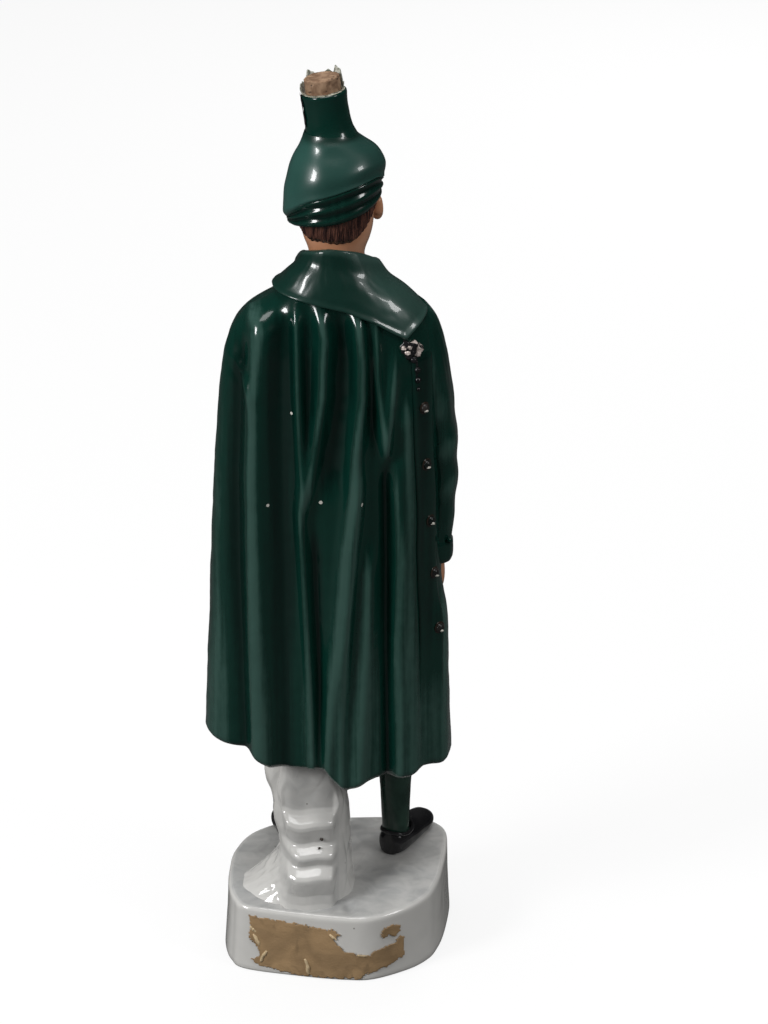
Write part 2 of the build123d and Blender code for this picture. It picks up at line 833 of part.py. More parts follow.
def make_head():
    head = head_block(0, 0, 0)
    for side in (-1, 1):
        x = head_x + side * eye_spread
        front = face_front(eye_height)
        edge = front + eye_spread * eye_spread / (2 * head_half_width)
        head = head - ellipsoid(x, edge - socket_depth / 4, eye_height, socket_half_width, socket_depth, socket_half_height)
        head = head + ellipsoid(x, edge + eye_radius * 0.55, eye_height, eye_radius, eye_radius, eye_radius * 0.8)
        head = head + ellipsoid(x, edge, brow_height, brow_half_width, brow_depth, brow_half_height)
    tip_y = face_front(nose_tip_height)
    nose = ring_loft((
        (oval(nose_half_width / 2, nose_half_width / 2, nose_length, nose_length * 0.2), nose_bridge_height, head_x, face_front(nose_bridge_height)),
        (oval(nose_half_width * 0.7, nose_half_width * 0.7, nose_length, nose_length * 0.6), (nose_tip_height + nose_bridge_height) / 2, head_x, tip_y),
        (oval(nose_half_width, nose_half_width, nose_length, nose_length), nose_tip_height, head_x, tip_y),
        (oval(nose_half_width * 0.7, nose_half_width * 0.7, nose_length, nose_length * 0.7), nose_tip_height - nose_half_width / 2, head_x, tip_y),
    ))
    head = head + nose
    lip_y = face_front(mouth_height)
    head = head + ellipsoid(head_x, lip_y, mouth_height + lip_half_height * 0.8, mouth_half_width, lip_depth, lip_half_height)
    head = head + ellipsoid(head_x, lip_y, mouth_height - lip_half_height * 0.8, mouth_half_width * 0.85, lip_depth, lip_half_height)
    head = head + ellipsoid(head_x, face_front(chin_height) + chin_depth / 2, chin_height, chin_half_width, chin_depth * 1.5, chin_half_height)
    throat = Pos(throat_x, cloak_y, cloak_z(1) - overrun) * base_cylinder(throat_radius, 3 * overrun)
    skull = []
    for row in head_row_shares:
        if head_z(row[0]) > skull_cavity_height:
            skull.append((head_ring(row, -skull_wall, -skull_wall, -skull_wall), head_z(row[0]), head_x, head_y))
    skull.append((head_ring(head_row_shares[-1], -skull_wall, -skull_wall, -skull_wall), head_z(1) + skull_wall, head_x, head_y))
    return head - throat - ring_loft(skull)


def hat_z(share):
    return hat_top_height + hat_height * share


def hat_block(inset):
    rings = []
    for share, left, right, back, front in hat_row_shares:
        rings.append((oval(
            left * hat_half_width - inset,
            right * hat_half_width - inset,
            back * hat_half_depth - inset,
            front * hat_half_depth - inset,
        ), hat_z(share), 0, hat_y))
    return rings


def make_hat(skin):
    edge_plane = slope_plane(hat_edge_height, hat_edge_side_slope, hat_back_slope)
    crown = split(ring_loft(hat_block(0)), bisect_by=edge_plane, keep=Keep.TOP)
    inner = hat_block(hat_wall)[:-2]
    ring = oval(bore_radius, bore_radius, bore_radius, bore_radius)
    inner.append((ring, hat_z(0) - hat_wall, neck_x, hat_y))
    inner.append((ring, hat_z(0) + hat_wall, neck_x, hat_y))
    return largest(crown - ring_loft(inner) - skin)


def make_band(skin):
    top_plane = slope_plane(hat_edge_height, hat_edge_side_slope, hat_back_slope)
    low_plane = slope_plane(band_edge_height, band_edge_side_slope, hat_back_slope)
    band = split(ring_loft(hat_block(band_inset)), bisect_by=top_plane, keep=Keep.BOTTOM)
    band = split(band, bisect_by=low_plane, keep=Keep.TOP)
    return band - skin


def make_hair(skin):
    low_plane = slope_plane(band_edge_height, band_edge_side_slope, hat_back_slope)
    hair = head_block(hair_thickness, hair_thickness, hair_thickness)
    hair = split(hair, bisect_by=low_plane, keep=Keep.BOTTOM)
    hair = split(hair, bisect_by=Plane.XY.offset(hair_bottom_height), keep=Keep.TOP)
    hair = split(hair, bisect_by=Plane.XZ.offset(-hair_front), keep=Keep.BOTTOM)
    return hair - skin


def make_ears(skin):
    ears = []
    x = head_x - head_half_width - ear_half_width / 4
    y = hair_front - ear_half_depth - ear_gap
    for height, half_height in zip(ear_heights, ear_half_heights):
        ear = ellipsoid(x, y, height, ear_half_width, ear_half_depth, half_height)
        dish = ellipsoid(x - ear_half_width, y - ear_half_depth / 3, height, ear_half_width, ear_half_depth / 2, half_height * 0.6)
        ears.append(largest(ear - dish - skin))
    return [mirror(ears[0], Plane.YZ.offset(head_x)), ears[1]]


def neck_frame():
    return lean_plane(neck_x, hat_y, hat_top_height, neck_lean).location


def make_neck():
    low = -neck_radius * math.tan(math.radians(neck_lean)) - seat_depth
    profile = make_face(Polyline([
        (0, 0, low),
        (neck_root_radius, 0, low),
        (neck_root_radius, 0, -low / 2),
        (neck_radius, 0, neck_flare_length),
        (neck_radius, 0, neck_length),
        (0, 0, neck_length),
    ], close=True))
    body = revolve(profile, Axis.Z)
    rim = body.edges().sort_by(Axis.Z)[-1]
    body = fillet(rim, rim_round)
    body = body - Pos(0, 0, low) * base_cylinder(bore_radius, neck_length - 2 * low)
    return split(neck_frame() * body, bisect_by=Plane.XY.offset(hat_top_height), keep=Keep.TOP)


def make_cork():
    radius = bore_radius - cork_clearance
    bottom = neck_length - cork_seat_length
    body = Pos(0, 0, neck_length - cork_seat_length / 2) * base_cylinder(radius, cork_stand + cork_seat_length / 2)
    foot = Pos(0, 0, bottom) * Cone(radius - cork_taper, radius, cork_seat_length / 2, align=(Align.CENTER, Align.CENTER, Align.MIN))
    cork = body + foot
    cork = fillet(cork.edges().sort_by(Axis.Z)[-1], cork_edge_round)
    return neck_frame() * cork


def make_seal():
    inner = bore_radius + seal_gap
    tube = base_cylinder(inner + seal_thickness, seal_height) - base_cylinder(inner, seal_height)
    cuts = []
    for step in range(seal_tooth_count):
        turn = 360 * step / seal_tooth_count
        back = 0.5 - 0.5 * math.cos(math.radians(turn - seal_high_turn))
        depth = (seal_height - seal_low_height) * (0.12 + 0.88 * back * (0.75 + 0.25 * math.sin(5 * step)))
        width = 2 * math.pi * inner / seal_tooth_count
        wedge = Polyline([(inner / 2, 0, seal_height - depth), (inner / 2, width * 0.62, seal_height + seat_depth), (inner / 2, -width * 0.62, seal_height + seat_depth)], close=True)
        cuts.append(Rot(0, 0, turn) * extrude(Face(Wire(wedge.edges())), amount=inner, dir=(1, 0, 0)))
    for cut in cuts:
        tube = tube - cut
    return neck_frame() * (Pos(0, 0, neck_length) * tube)


def make_strip(neck):
    tube = base_cylinder(neck_radius + strip_thickness, strip_length) - base_cylinder(neck_radius, strip_length)
    window = Pos(neck_radius, 0, strip_length / 2) * Box(2 * neck_radius, 2 * strip_half_width, 2 * strip_length)
    strip = Pos(0, 0, neck_length - strip_length - rim_round) * (tube & window)
    return neck_frame() * strip - neck


plinth = make_plinth()
write(plinth, "base_plinth")
write(make_label(), "paper_label")
write(make_scrap(), "label_scrap")
write(make_stump(plinth), "rock_stump")
right_stocking = make_stocking(right_ankle_x, right_knee_x)
left_stocking = make_stocking(left_ankle_x, left_knee_x)
right_knee = make_knee(right_knee_x, right_hip_x)
left_knee = make_knee(left_knee_x, left_hip_x)
write(make_shoe(right_ankle_x, right_shoe_turn, right_stocking, plinth), "right_shoe")
write(make_shoe(left_ankle_x, left_shoe_turn, left_stocking, plinth), "left_shoe")
write(right_stocking - plinth, "right_stocking")
write(left_stocking - plinth, "left_stocking")
opening = make_opening()
cloak_block = make_cloak_block()
kilt = make_kilt(opening)
write(kilt, "kilt")
write(right_knee - kilt, "right_knee")
write(left_knee - kilt, "left_knee")
tunic = make_tunic(opening)
write(tunic, "tunic_front")
write(Compound(children=make_tunic_buttons(tunic)), "tunic_buttons")
belt = make_belt(opening)
write(belt, "waist_belt")
write(make_buckle(belt), "belt_buckle")
write(make_cloak(cloak_block, opening, (right_stocking, left_stocking, right_knee, left_knee)), "cloak_body")
skin = head_block(0, 0, 0)
collar = make_collar(cloak_block, skin)
write(collar, "cloak_collar")
placket = make_placket(cloak_block)
write(placket, "button_placket")
write(Compound(children=make_placket_buttons(placket)), "placket_buttons")
write(make_clasp(cloak_block, collar), "shoulder_clasp")
write(make_beads(placket), "clasp_beads")
sleeve = make_sleeve(cloak_block, collar)
write(sleeve, "right_sleeve")
write(make_hand(cloak_block, sleeve), "right_hand")
write(make_head(), "head")
hair = make_hair(skin)
write(hair, "hair_back")
band = make_band(skin)
write(band, "hat_band")
write(Compound(children=make_ears(skin)), "ears")
write(make_hat(skin), "hat_crown")
neck = make_neck()
write(neck, "neck_spout")
write(make_cork(), "cork_stopper")
write(make_seal(), "seal_remnant")
write(make_strip(neck), "seal_strip")
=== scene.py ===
import math
import bpy
import bmesh
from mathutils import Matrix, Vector, noise


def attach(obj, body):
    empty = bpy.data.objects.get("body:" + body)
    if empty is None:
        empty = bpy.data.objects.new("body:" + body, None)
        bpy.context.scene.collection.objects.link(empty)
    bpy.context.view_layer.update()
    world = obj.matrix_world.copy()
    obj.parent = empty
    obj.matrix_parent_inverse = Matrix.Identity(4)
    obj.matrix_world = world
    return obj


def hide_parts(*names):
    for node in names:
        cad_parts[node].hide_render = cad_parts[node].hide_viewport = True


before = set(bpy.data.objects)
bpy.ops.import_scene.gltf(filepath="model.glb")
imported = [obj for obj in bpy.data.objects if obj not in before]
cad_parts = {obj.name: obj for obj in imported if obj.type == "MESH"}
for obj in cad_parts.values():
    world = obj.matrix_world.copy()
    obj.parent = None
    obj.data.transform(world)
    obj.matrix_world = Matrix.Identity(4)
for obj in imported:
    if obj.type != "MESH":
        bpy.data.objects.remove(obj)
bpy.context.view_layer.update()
mm = 0.001
print("frame loaded")


# number helpers
def mix(a, b, t):
    return a + (b - a) * t


def clamp(v, low=0.0, high=1.0):
    return max(low, min(high, v))


def smooth(v):
    v = clamp(v)
    return v * v * (3 - 2 * v)


def along(table, key):
    if key <= table[0][0]:
        return list(table[0])
    for low, high in zip(table, table[1:]):
        if key <= high[0]:
            t = (key - low[0]) / (high[0] - low[0])
            return [mix(a, b, t) for a, b in zip(low, high)]
    return list(table[-1])


def softAlong(table, key):
    keys = [row[0] for row in table]
    if key <= keys[0] or key >= keys[-1]:
        return along(table, key)
    i = max(j for j in range(len(keys) - 1) if keys[j] <= key)
    t = (key - keys[i]) / (keys[i + 1] - keys[i])
    out = []
    for c in range(len(table[0])):
        p1, p2 = table[i][c], table[i + 1][c]
        p0 = table[i - 1][c] if i > 0 else p1 - (p2 - p1)
        p3 = table[i + 2][c] if i + 2 < len(table) else p2 + (p2 - p1)
        span = keys[i + 1] - keys[i]
        back = span / (keys[i + 1] - (keys[i - 1] if i > 0 else keys[i] - span))
        ahead = span / ((keys[i + 2] if i + 2 < len(keys) else keys[i + 1] + span) - keys[i])
        m1, m2 = (p2 - p0) * back, (p3 - p1) * ahead
        t2, t3 = t * t, t * t * t
        start = (2 * t3 - 3 * t2 + 1) * p1 + (t3 - 2 * t2 + t) * m1
        out.append(start + (-2 * t3 + 3 * t2) * p2 + (t3 - t2) * m2)
    return out


def rough(x, y, z, scale, octaves=3):
    return noise.fractal(Vector((x, y, z)) * scale, 0.6, 2.0, octaves)


# meshes
def newMesh(name, verts, faces, shades=None):
    mesh = bpy.data.meshes.new(name)
    mesh.from_pydata([tuple(c * mm for c in v) for v in verts], [], faces)
    work = bmesh.new()
    work.from_mesh(mesh)
    bmesh.ops.recalc_face_normals(work, faces=work.faces)
    work.to_mesh(mesh)
    work.free()
    if shades:
        layer = mesh.attributes.new("foldShade", "FLOAT", "POINT")
        layer.data.foreach_set("value", shades)
    for face in mesh.polygons:
        face.use_smooth = True
    piece = bpy.data.objects.new(name, mesh)
    bpy.context.scene.collection.objects.link(piece)
    return piece


def ringMesh(name, rings, closed=True, capStart=True, capEnd=True, shades=None):
    count = len(rings[0])
    verts = [p for ring in rings for p in ring]
    faces = []
    steps = count if closed else count - 1
    for r in range(len(rings) - 1):
        for i in range(steps):
            j = (i + 1) % count
            faces.append((r * count + i, r * count + j, (r + 1) * count + j, (r + 1) * count + i))
    for cap, r in ((capStart, 0), (capEnd, len(rings) - 1)):
        if cap:
            middle = [sum(p[c] for p in rings[r]) / count for c in range(3)]
            verts.append(middle)
            if shades:
                shades.append(0.0)
            m = len(verts) - 1
            for i in range(steps):
                faces.append((r * count + i, r * count + (i + 1) % count, m))
    return newMesh(name, verts, faces, shades)


def joinPieces(name, pieces):
    for piece in pieces:
        piece.select_set(False)
    first = pieces[0]
    with bpy.context.temp_override(active_object=first, selected_editable_objects=pieces):
        bpy.ops.object.join()
    first.name = name
    first.data.name = name
    return first


def place(piece, material, nodes=(), body="decanter", levels=0):
    piece.data.materials.clear()
    piece.data.materials.append(material)
    if levels:
        more = piece.modifiers.new("soft", "SUBSURF")
        more.levels = levels
        more.render_levels = levels
    if nodes:
        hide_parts(*nodes)
    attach(piece, body)
    return piece


# materials: sockets that add up like numbers
class Value:
    def __init__(self, finish, socket):
        self.finish = finish
        self.socket = socket

    def __add__(self, other):
        return self.finish.sum("ADD", self, other)

    def __radd__(self, other):
        return self.finish.sum("ADD", other, self)

    def __sub__(self, other):
        return self.finish.sum("SUBTRACT", self, other)

    def __rsub__(self, other):
        return self.finish.sum("SUBTRACT", other, self)

    def __mul__(self, other):
        return self.finish.sum("MULTIPLY", self, other)

    def __rmul__(self, other):
        return self.finish.sum("MULTIPLY", other, self)

    def over(self, edge):
        return self.finish.sum("GREATER_THAN", self, edge)

    def held(self):
        return self.finish.node("ShaderNodeClamp", inputs={0: self})


class Finish:
    def __init__(self, name, base, roughness, coat=0.0, metallic=0.0, shine=0.5):
        self.material = bpy.data.materials.new(name)
        self.material.use_nodes = True
        self.tree = self.material.node_tree
        self.shader = self.tree.nodes["Principled BSDF"]
        self.shader.inputs["Base Color"].default_value = (*base, 1)
        self.shader.inputs["Roughness"].default_value = roughness
        self.shader.inputs["Coat Weight"].default_value = coat
        self.shader.inputs["Metallic"].default_value = metallic
        self.shader.inputs["Coat Roughness"].default_value = 0.05
        self.shader.inputs["Specular IOR Level"].default_value = shine

    def node(self, kind, settings=None, inputs=None, output=0):
        made = self.tree.nodes.new(kind)
        for key, value in (settings or {}).items():
            if key == "stops":
                ramp = made.color_ramp
                while len(ramp.elements) < len(value):
                    ramp.elements.new(0.5)
                for element, (spot, color) in zip(ramp.elements, value):
                    element.position = spot
                    element.color = color
            else:
                setattr(made, key, value)
        for key, value in (inputs or {}).items():
            if isinstance(value, Value):
                self.tree.links.new(value.socket, made.inputs[key])
            else:
                made.inputs[key].default_value = value
        return Value(self, made.outputs[output])

    def sum(self, operation, first, second):
        return self.node("ShaderNodeMath", {"operation": operation}, {0: first, 1: second})

    def where(self):
        return self.node("ShaderNodeTexCoord", output="Object")

    def grain(self, scale, detail=3.0, warp=0.0, stretch=None):
        spot = self.where()
        if stretch:
            spot = self.node("ShaderNodeMapping", {}, {"Vector": spot, "Scale": stretch})
        inputs = {"Vector": spot, "Scale": scale, "Detail": detail, "Distortion": warp}
        return self.node("ShaderNodeTexNoise", {}, inputs, "Fac")

    def cells(self, scale):
        return self.node("ShaderNodeTexVoronoi", {}, {"Vector": self.where(), "Scale": scale}, "Distance")

    def ramp(self, value, low, high):
        return self.node(
            "ShaderNodeMapRange", {"interpolation_type": "SMOOTHSTEP"}, {0: value, 1: low, 2: high},
        )

    def blend(self, factor, first, second):
        def shade(c):
            return c if isinstance(c, Value) else (*c, 1)
        inputs = {0: factor, 6: shade(first), 7: shade(second)}
        return self.node("ShaderNodeMix", {"data_type": "RGBA"}, inputs, 2)

    def attribute(self, name):
        return self.node("ShaderNodeAttribute", {"attribute_name": name}, output="Fac")

    def near(self, spot, radius):
        inputs = {0: self.where(), 1: tuple(c * mm for c in spot)}
        gap = self.node("ShaderNodeVectorMath", {"operation": "DISTANCE"}, inputs, "Value")
        return self.sum("LESS_THAN", gap, radius * mm)

    def wear(self, base, roughness=None, height=None, strength=0.3, depth=0.3):
        for name, value in (("Base Color", base), ("Roughness", roughness)):
            if value is not None:
                self.tree.links.new(value.socket, self.shader.inputs[name])
        if height is not None:
            inputs = {"Strength": strength, "Distance": depth * mm, "Height": height}
            bump = self.node("ShaderNodeBump", {}, inputs)
            self.tree.links.new(bump.socket, self.shader.inputs["Normal"])
        return self.material


# bottle green glaze: darker in the hollows and lighter on the ridges, partly the glaze pooling and thinning,
# partly painted shade in the hollows and painted highlight on the ridges
greenLook = {
    # deep: colour of the hollows, glaze pooling darkened by painted shade
    "deep": (0.0003, 0.0100, 0.0072),
    "body": (0.0018, 0.0235, 0.0165),
    # thinAndHighlight: colour of the ridges, thin glaze lightened by painted highlight
    "thinAndHighlight": (0.0300, 0.0720, 0.0590),
    # pale: top colour of the cap's crown, a painted reflection
    "pale": (0.0210, 0.0800, 0.0660),
    "chip": (0.62, 0.60, 0.55),
    "chips": ((25.1, 214.4, 0.7), (3.6, 216.6, 0.75), (-12.9, 216.7, 0.85), (15.6, 254.4, 0.6)),
    "streak": 0.55,  # how strongly the glaze runs in streaks
    "ragged": 0.16,
    "lowRamp": (0.06, 0.46),
    "highRamp": (0.52, 0.92),
}


def greenGlaze(name, folded=True, streaks=True, chips=(), top="thinAndHighlight", soft=0.13, shine=0.3):
    look = greenLook
    finish = Finish(name, look["body"], 0.2, coat=0.5, shine=shine)
    cloud = finish.grain(38, 4, 0.4)
    tone = (cloud - 0.5) * 0.8 + 0.5
    if folded and streaks:
        streak = (finish.grain(1, 4, 0.4, (420, 80, 12)) - 0.5) * look["streak"]
        ragged = (finish.grain(1, 3, 0.0, (520, 160, 210)) - 0.5) * look["ragged"]
        # foldShade carries the painted shade and painted highlights, together with the glaze pooling, worked
        # out for each vertex
        tone = tone * 0.06 + streak + ragged + finish.attribute("foldShade") * 0.94
    elif folded:
        tone = tone * 0.18 + finish.attribute("foldShade") * 0.82
    tone = tone.held()
    low = finish.blend(finish.ramp(tone, *look["lowRamp"]), look["deep"], look["body"])
    base = finish.blend(finish.ramp(tone, *look["highRamp"]), low, look[top])
    for spot in chips:
        base = finish.blend(finish.near(spot[:3], spot[3]), base, look["chip"])
    gloss = finish.grain(60, 3) * 0.14 + soft
    return finish.wear(base, gloss, finish.grain(70, 1), 0.06, 0.4)


# white glaze: grey painted in by the shade attribute, as painted shade on the plinth's top and in the rock's
# hollows, broken up by a mottle; where it is painted it is also less glossy
def whiteGlaze(name, top):
    finish = Finish(name, (0.60, 0.59, 0.57), 0.2, coat=0.4)
    cloud = finish.grain(26, 5, 0.8)
    smear = finish.grain(1, 5, 0.9, (120, 150, 130))
    mask = finish.ramp(cloud * 0.55 + smear * 0.45, 0.28, 0.72) * 0.6 + 0.4
    grey = finish.blend(finish.grain(30, 2), (0.22, 0.235, 0.25), (0.29, 0.28, 0.26))
    shadeAmount = finish.attribute("foldShade").held()
    share = mask * shadeAmount * top
    base = finish.blend(share.held(), (0.60, 0.59, 0.565), grey)
    speck = finish.ramp(finish.cells(210), 0.10, 0.05) * finish.grain(90, 2).over(0.63)
    base = finish.blend(speck * 0.8, base, (0.10, 0.09, 0.08))
    return finish.wear(base, finish.grain(80, 3) * 0.14 + shadeAmount * 0.26, finish.grain(110, 3), 0.06, 0.4)


def plainGlaze(name, color, other, scale, roughness, strength=0.2):
    finish = Finish(name, color, roughness, coat=0.2, shine=0.35)
    base = finish.blend(finish.ramp(finish.grain(scale, 4, 0.5), 0.35, 0.7), color, other)
    return finish.wear(
        base, finish.grain(70, 3) * 0.12 + roughness - 0.05, finish.grain(180, 2), strength, 0.3,
    )


def strandGlaze(name):
    finish = Finish(name, (0.05, 0.018, 0.012), 0.2, coat=0.2)
    strand = finish.grain(1, 4, 0.6, (900, 900, 120))
    base = finish.blend(finish.ramp(strand, 0.35, 0.68), (0.018, 0.006, 0.005), (0.11, 0.045, 0.03))
    return finish.wear(base, strand * 0.2 + 0.12, strand, 0.5, 0.4)


def corkFinish(name):
    finish = Finish(name, (0.30, 0.17, 0.09), 0.85)
    blot = finish.grain(260, 5, 0.6)
    pit = finish.ramp(finish.cells(420), 0.26, 0.06) * finish.grain(190, 3).over(0.5)
    base = finish.blend(finish.ramp(blot, 0.3, 0.7), (0.13, 0.065, 0.032), (0.30, 0.19, 0.115))
    base = finish.blend(pit * 0.85, base, (0.025, 0.012, 0.008))
    return finish.wear(base, blot * 0.2 + 0.7, blot - pit, 0.6, 0.5)


def paperFinish(name, tone):
    finish = Finish(name, tone, 0.75)
    fibre = finish.grain(1, 5, 0.5, (700, 700, 1500))
    blot = finish.grain(75, 4, 0.8)
    worn = finish.ramp(finish.grain(140, 5, 1.0), 0.55, 0.72)
    light = tuple(min(1, c * 1.35) for c in tone)
    base = finish.blend(finish.ramp(blot, 0.35, 0.7), tone, light)
    base = finish.blend(worn * 0.5, base, tuple(c * 0.62 for c in tone))
    return finish.wear(base, blot * 0.3 + 0.5, fibre + blot, 0.5, 0.25)


def filmFinish(name):
    finish = Finish(name, (0.42, 0.42, 0.30), 0.35)
    blot = finish.grain(420, 4, 0.8)
    base = finish.blend(finish.ramp(blot, 0.35, 0.7), (0.09, 0.10, 0.07), (0.58, 0.57, 0.50))
    return finish.wear(base, blot * 0.3 + 0.25, blot, 0.5, 0.2)


def lustreFinish(name, scale):
    finish = Finish(name, (0.62, 0.52, 0.48), 0.3, coat=0.3, metallic=0.35)
    blot = finish.grain(scale, 3, 0.6)
    base = finish.blend(finish.ramp(blot, 0.40, 0.52), (0.03, 0.025, 0.025), (0.72, 0.62, 0.57))
    return finish.wear(base, blot * 0.3 + 0.2, blot, 0.6, 0.3)


def clothGlaze(name):
    finish = Finish(name, (0.40, 0.19, 0.055), 0.16, coat=0.25)
    cloud = finish.grain(60, 4, 0.6)
    shade = finish.attribute("foldShade").held()
    tone = (cloud * 0.5 + shade * 0.5).held()
    base = finish.blend(finish.ramp(tone, 0.2, 0.8), (0.20, 0.08, 0.02), (0.50, 0.26, 0.08))
    return finish.wear(base, cloud * 0.1 + 0.1, finish.grain(160, 2), 0.2, 0.3)


capGreen = greenGlaze("capGreen")
plainGreen = greenGlaze("plainGreen", folded=False)
crownGreen = greenGlaze("crownGreen", streaks=False, top="pale", soft=0.26, shine=0.6)
wingGreen = greenGlaze("wingGreen", streaks=False, soft=0.24, shine=0.5)
hoseGreen = plainGlaze("hoseGreen", (0.010, 0.026, 0.019), (0.018, 0.042, 0.031), 90, 0.2)
tunicGreen = plainGlaze("tunicGreen", (0.004, 0.022, 0.016), (0.010, 0.040, 0.029), 80, 0.16)
plinthWhite = whiteGlaze("plinthWhite", 0.95)
rockWhite = whiteGlaze("rockWhite", 0.8)
skinTan = plainGlaze("skinTan", (0.46, 0.215, 0.115), (0.54, 0.28, 0.17), 45, 0.2, strength=0.1)
lipTan = plainGlaze("lipTan", (0.40, 0.13, 0.08), (0.45, 0.17, 0.11), 90, 0.2)
hairBrown = strandGlaze("hairBrown")
shoeBlack = plainGlaze("shoeBlack", (0.006, 0.006, 0.007), (0.016, 0.016, 0.017), 70, 0.12)
eyeWhite = plainGlaze("eyeWhite", (0.62, 0.60, 0.55), (0.68, 0.66, 0.62), 120, 0.1, strength=0.05)
eyeDark = plainGlaze("eyeDark", (0.02, 0.014, 0.010), (0.03, 0.02, 0.015), 200, 0.08, strength=0.05)
corkBrown = corkFinish("corkBrown")
buttonDark = plainGlaze("buttonDark", (0.006, 0.010, 0.009), (0.030, 0.026, 0.024), 160, 0.08, strength=0.03)
labelBrown = paperFinish("labelBrown", (0.255, 0.165, 0.082))
labelPale = paperFinish("labelPale", (0.42, 0.32, 0.19))
sealFilm = filmFinish("sealFilm")
lustre = lustreFinish("lustre", 330)
fineLustre = lustreFinish("fineLustre", 900)
kiltGlaze = clothGlaze("kiltGlaze")
glintWhite = plainGlaze("glintWhite", (0.50, 0.48, 0.42), (0.62, 0.60, 0.54), 500, 0.2)
bareClay = plainGlaze("bareClay", (0.42, 0.40, 0.30), (0.55, 0.52, 0.42), 400, 0.5)
print("materials made")


# the cloak's form: heights with left, right, back and front reach
cloakForm = {
    "rows": (
        (76, 53.0, 52.8, 29.8, 33.4), (100, 52.7, 52.2, 29.4, 33.2), (130, 51.3, 50.0, 28.4, 32.6),
        (160, 49.9, 47.9, 27.2, 31.8),
        (190, 48.6, 46.6, 25.9, 30.9), (220, 46.9, 45.8, 24.6, 29.8), (250, 44.9, 45.0, 23.2, 28.4),
        (270, 42.9, 43.6, 21.8, 27.0),
        (283, 40.6, 41.6, 20.4, 25.4), (292, 35.0, 37.0, 18.8, 23.2), (299, 24.0, 29.5, 16.6, 19.8),
        (306, 15.6, 20.5, 14.2, 16.2),
        (312, 12.8, 16.4, 12.6, 13.6),
    ),
    "middle": -1.0,
    "power": 2.25,
    "hem": (
        (-53.0, 91.5), (-47.1, 92.0), (-40.6, 92.4), (-34.2, 89.8), (-27.7, 90.4), (-20.1, 90.4),
        (-12.9, 88.0), (-7.4, 85.6), (-2.3, 89.8),
        (1.9, 96.0), (4.0, 95.2), (6.1, 96.2), (12.5, 95.0), (16.7, 94.2), (25.2, 95.6), (28.5, 97.6),
        (36.6, 101.6), (44.3, 102.2), (53.0, 103.0),
    ),
    "wall": 2.6,
    "low": 92,
    "top": 312,
    "tuck": 1.6,  # how far the open edges turn in
    "roll": 1.3,  # how far the hem turns in
    "waver": 0.25,
    "foldReach": 11.0,  # over this height a fold fades in and out
    "underside": ((3.0, 3.0), (3.2, 6.0), (4.2, 8.5), (9, 10.0), (24, 10.5)),
    "openTop": 297.0,
    "openTopHalf": 8.5,
    "openHemHalf": 34.8,
    "turns": 420,
    "levels": 190,
}

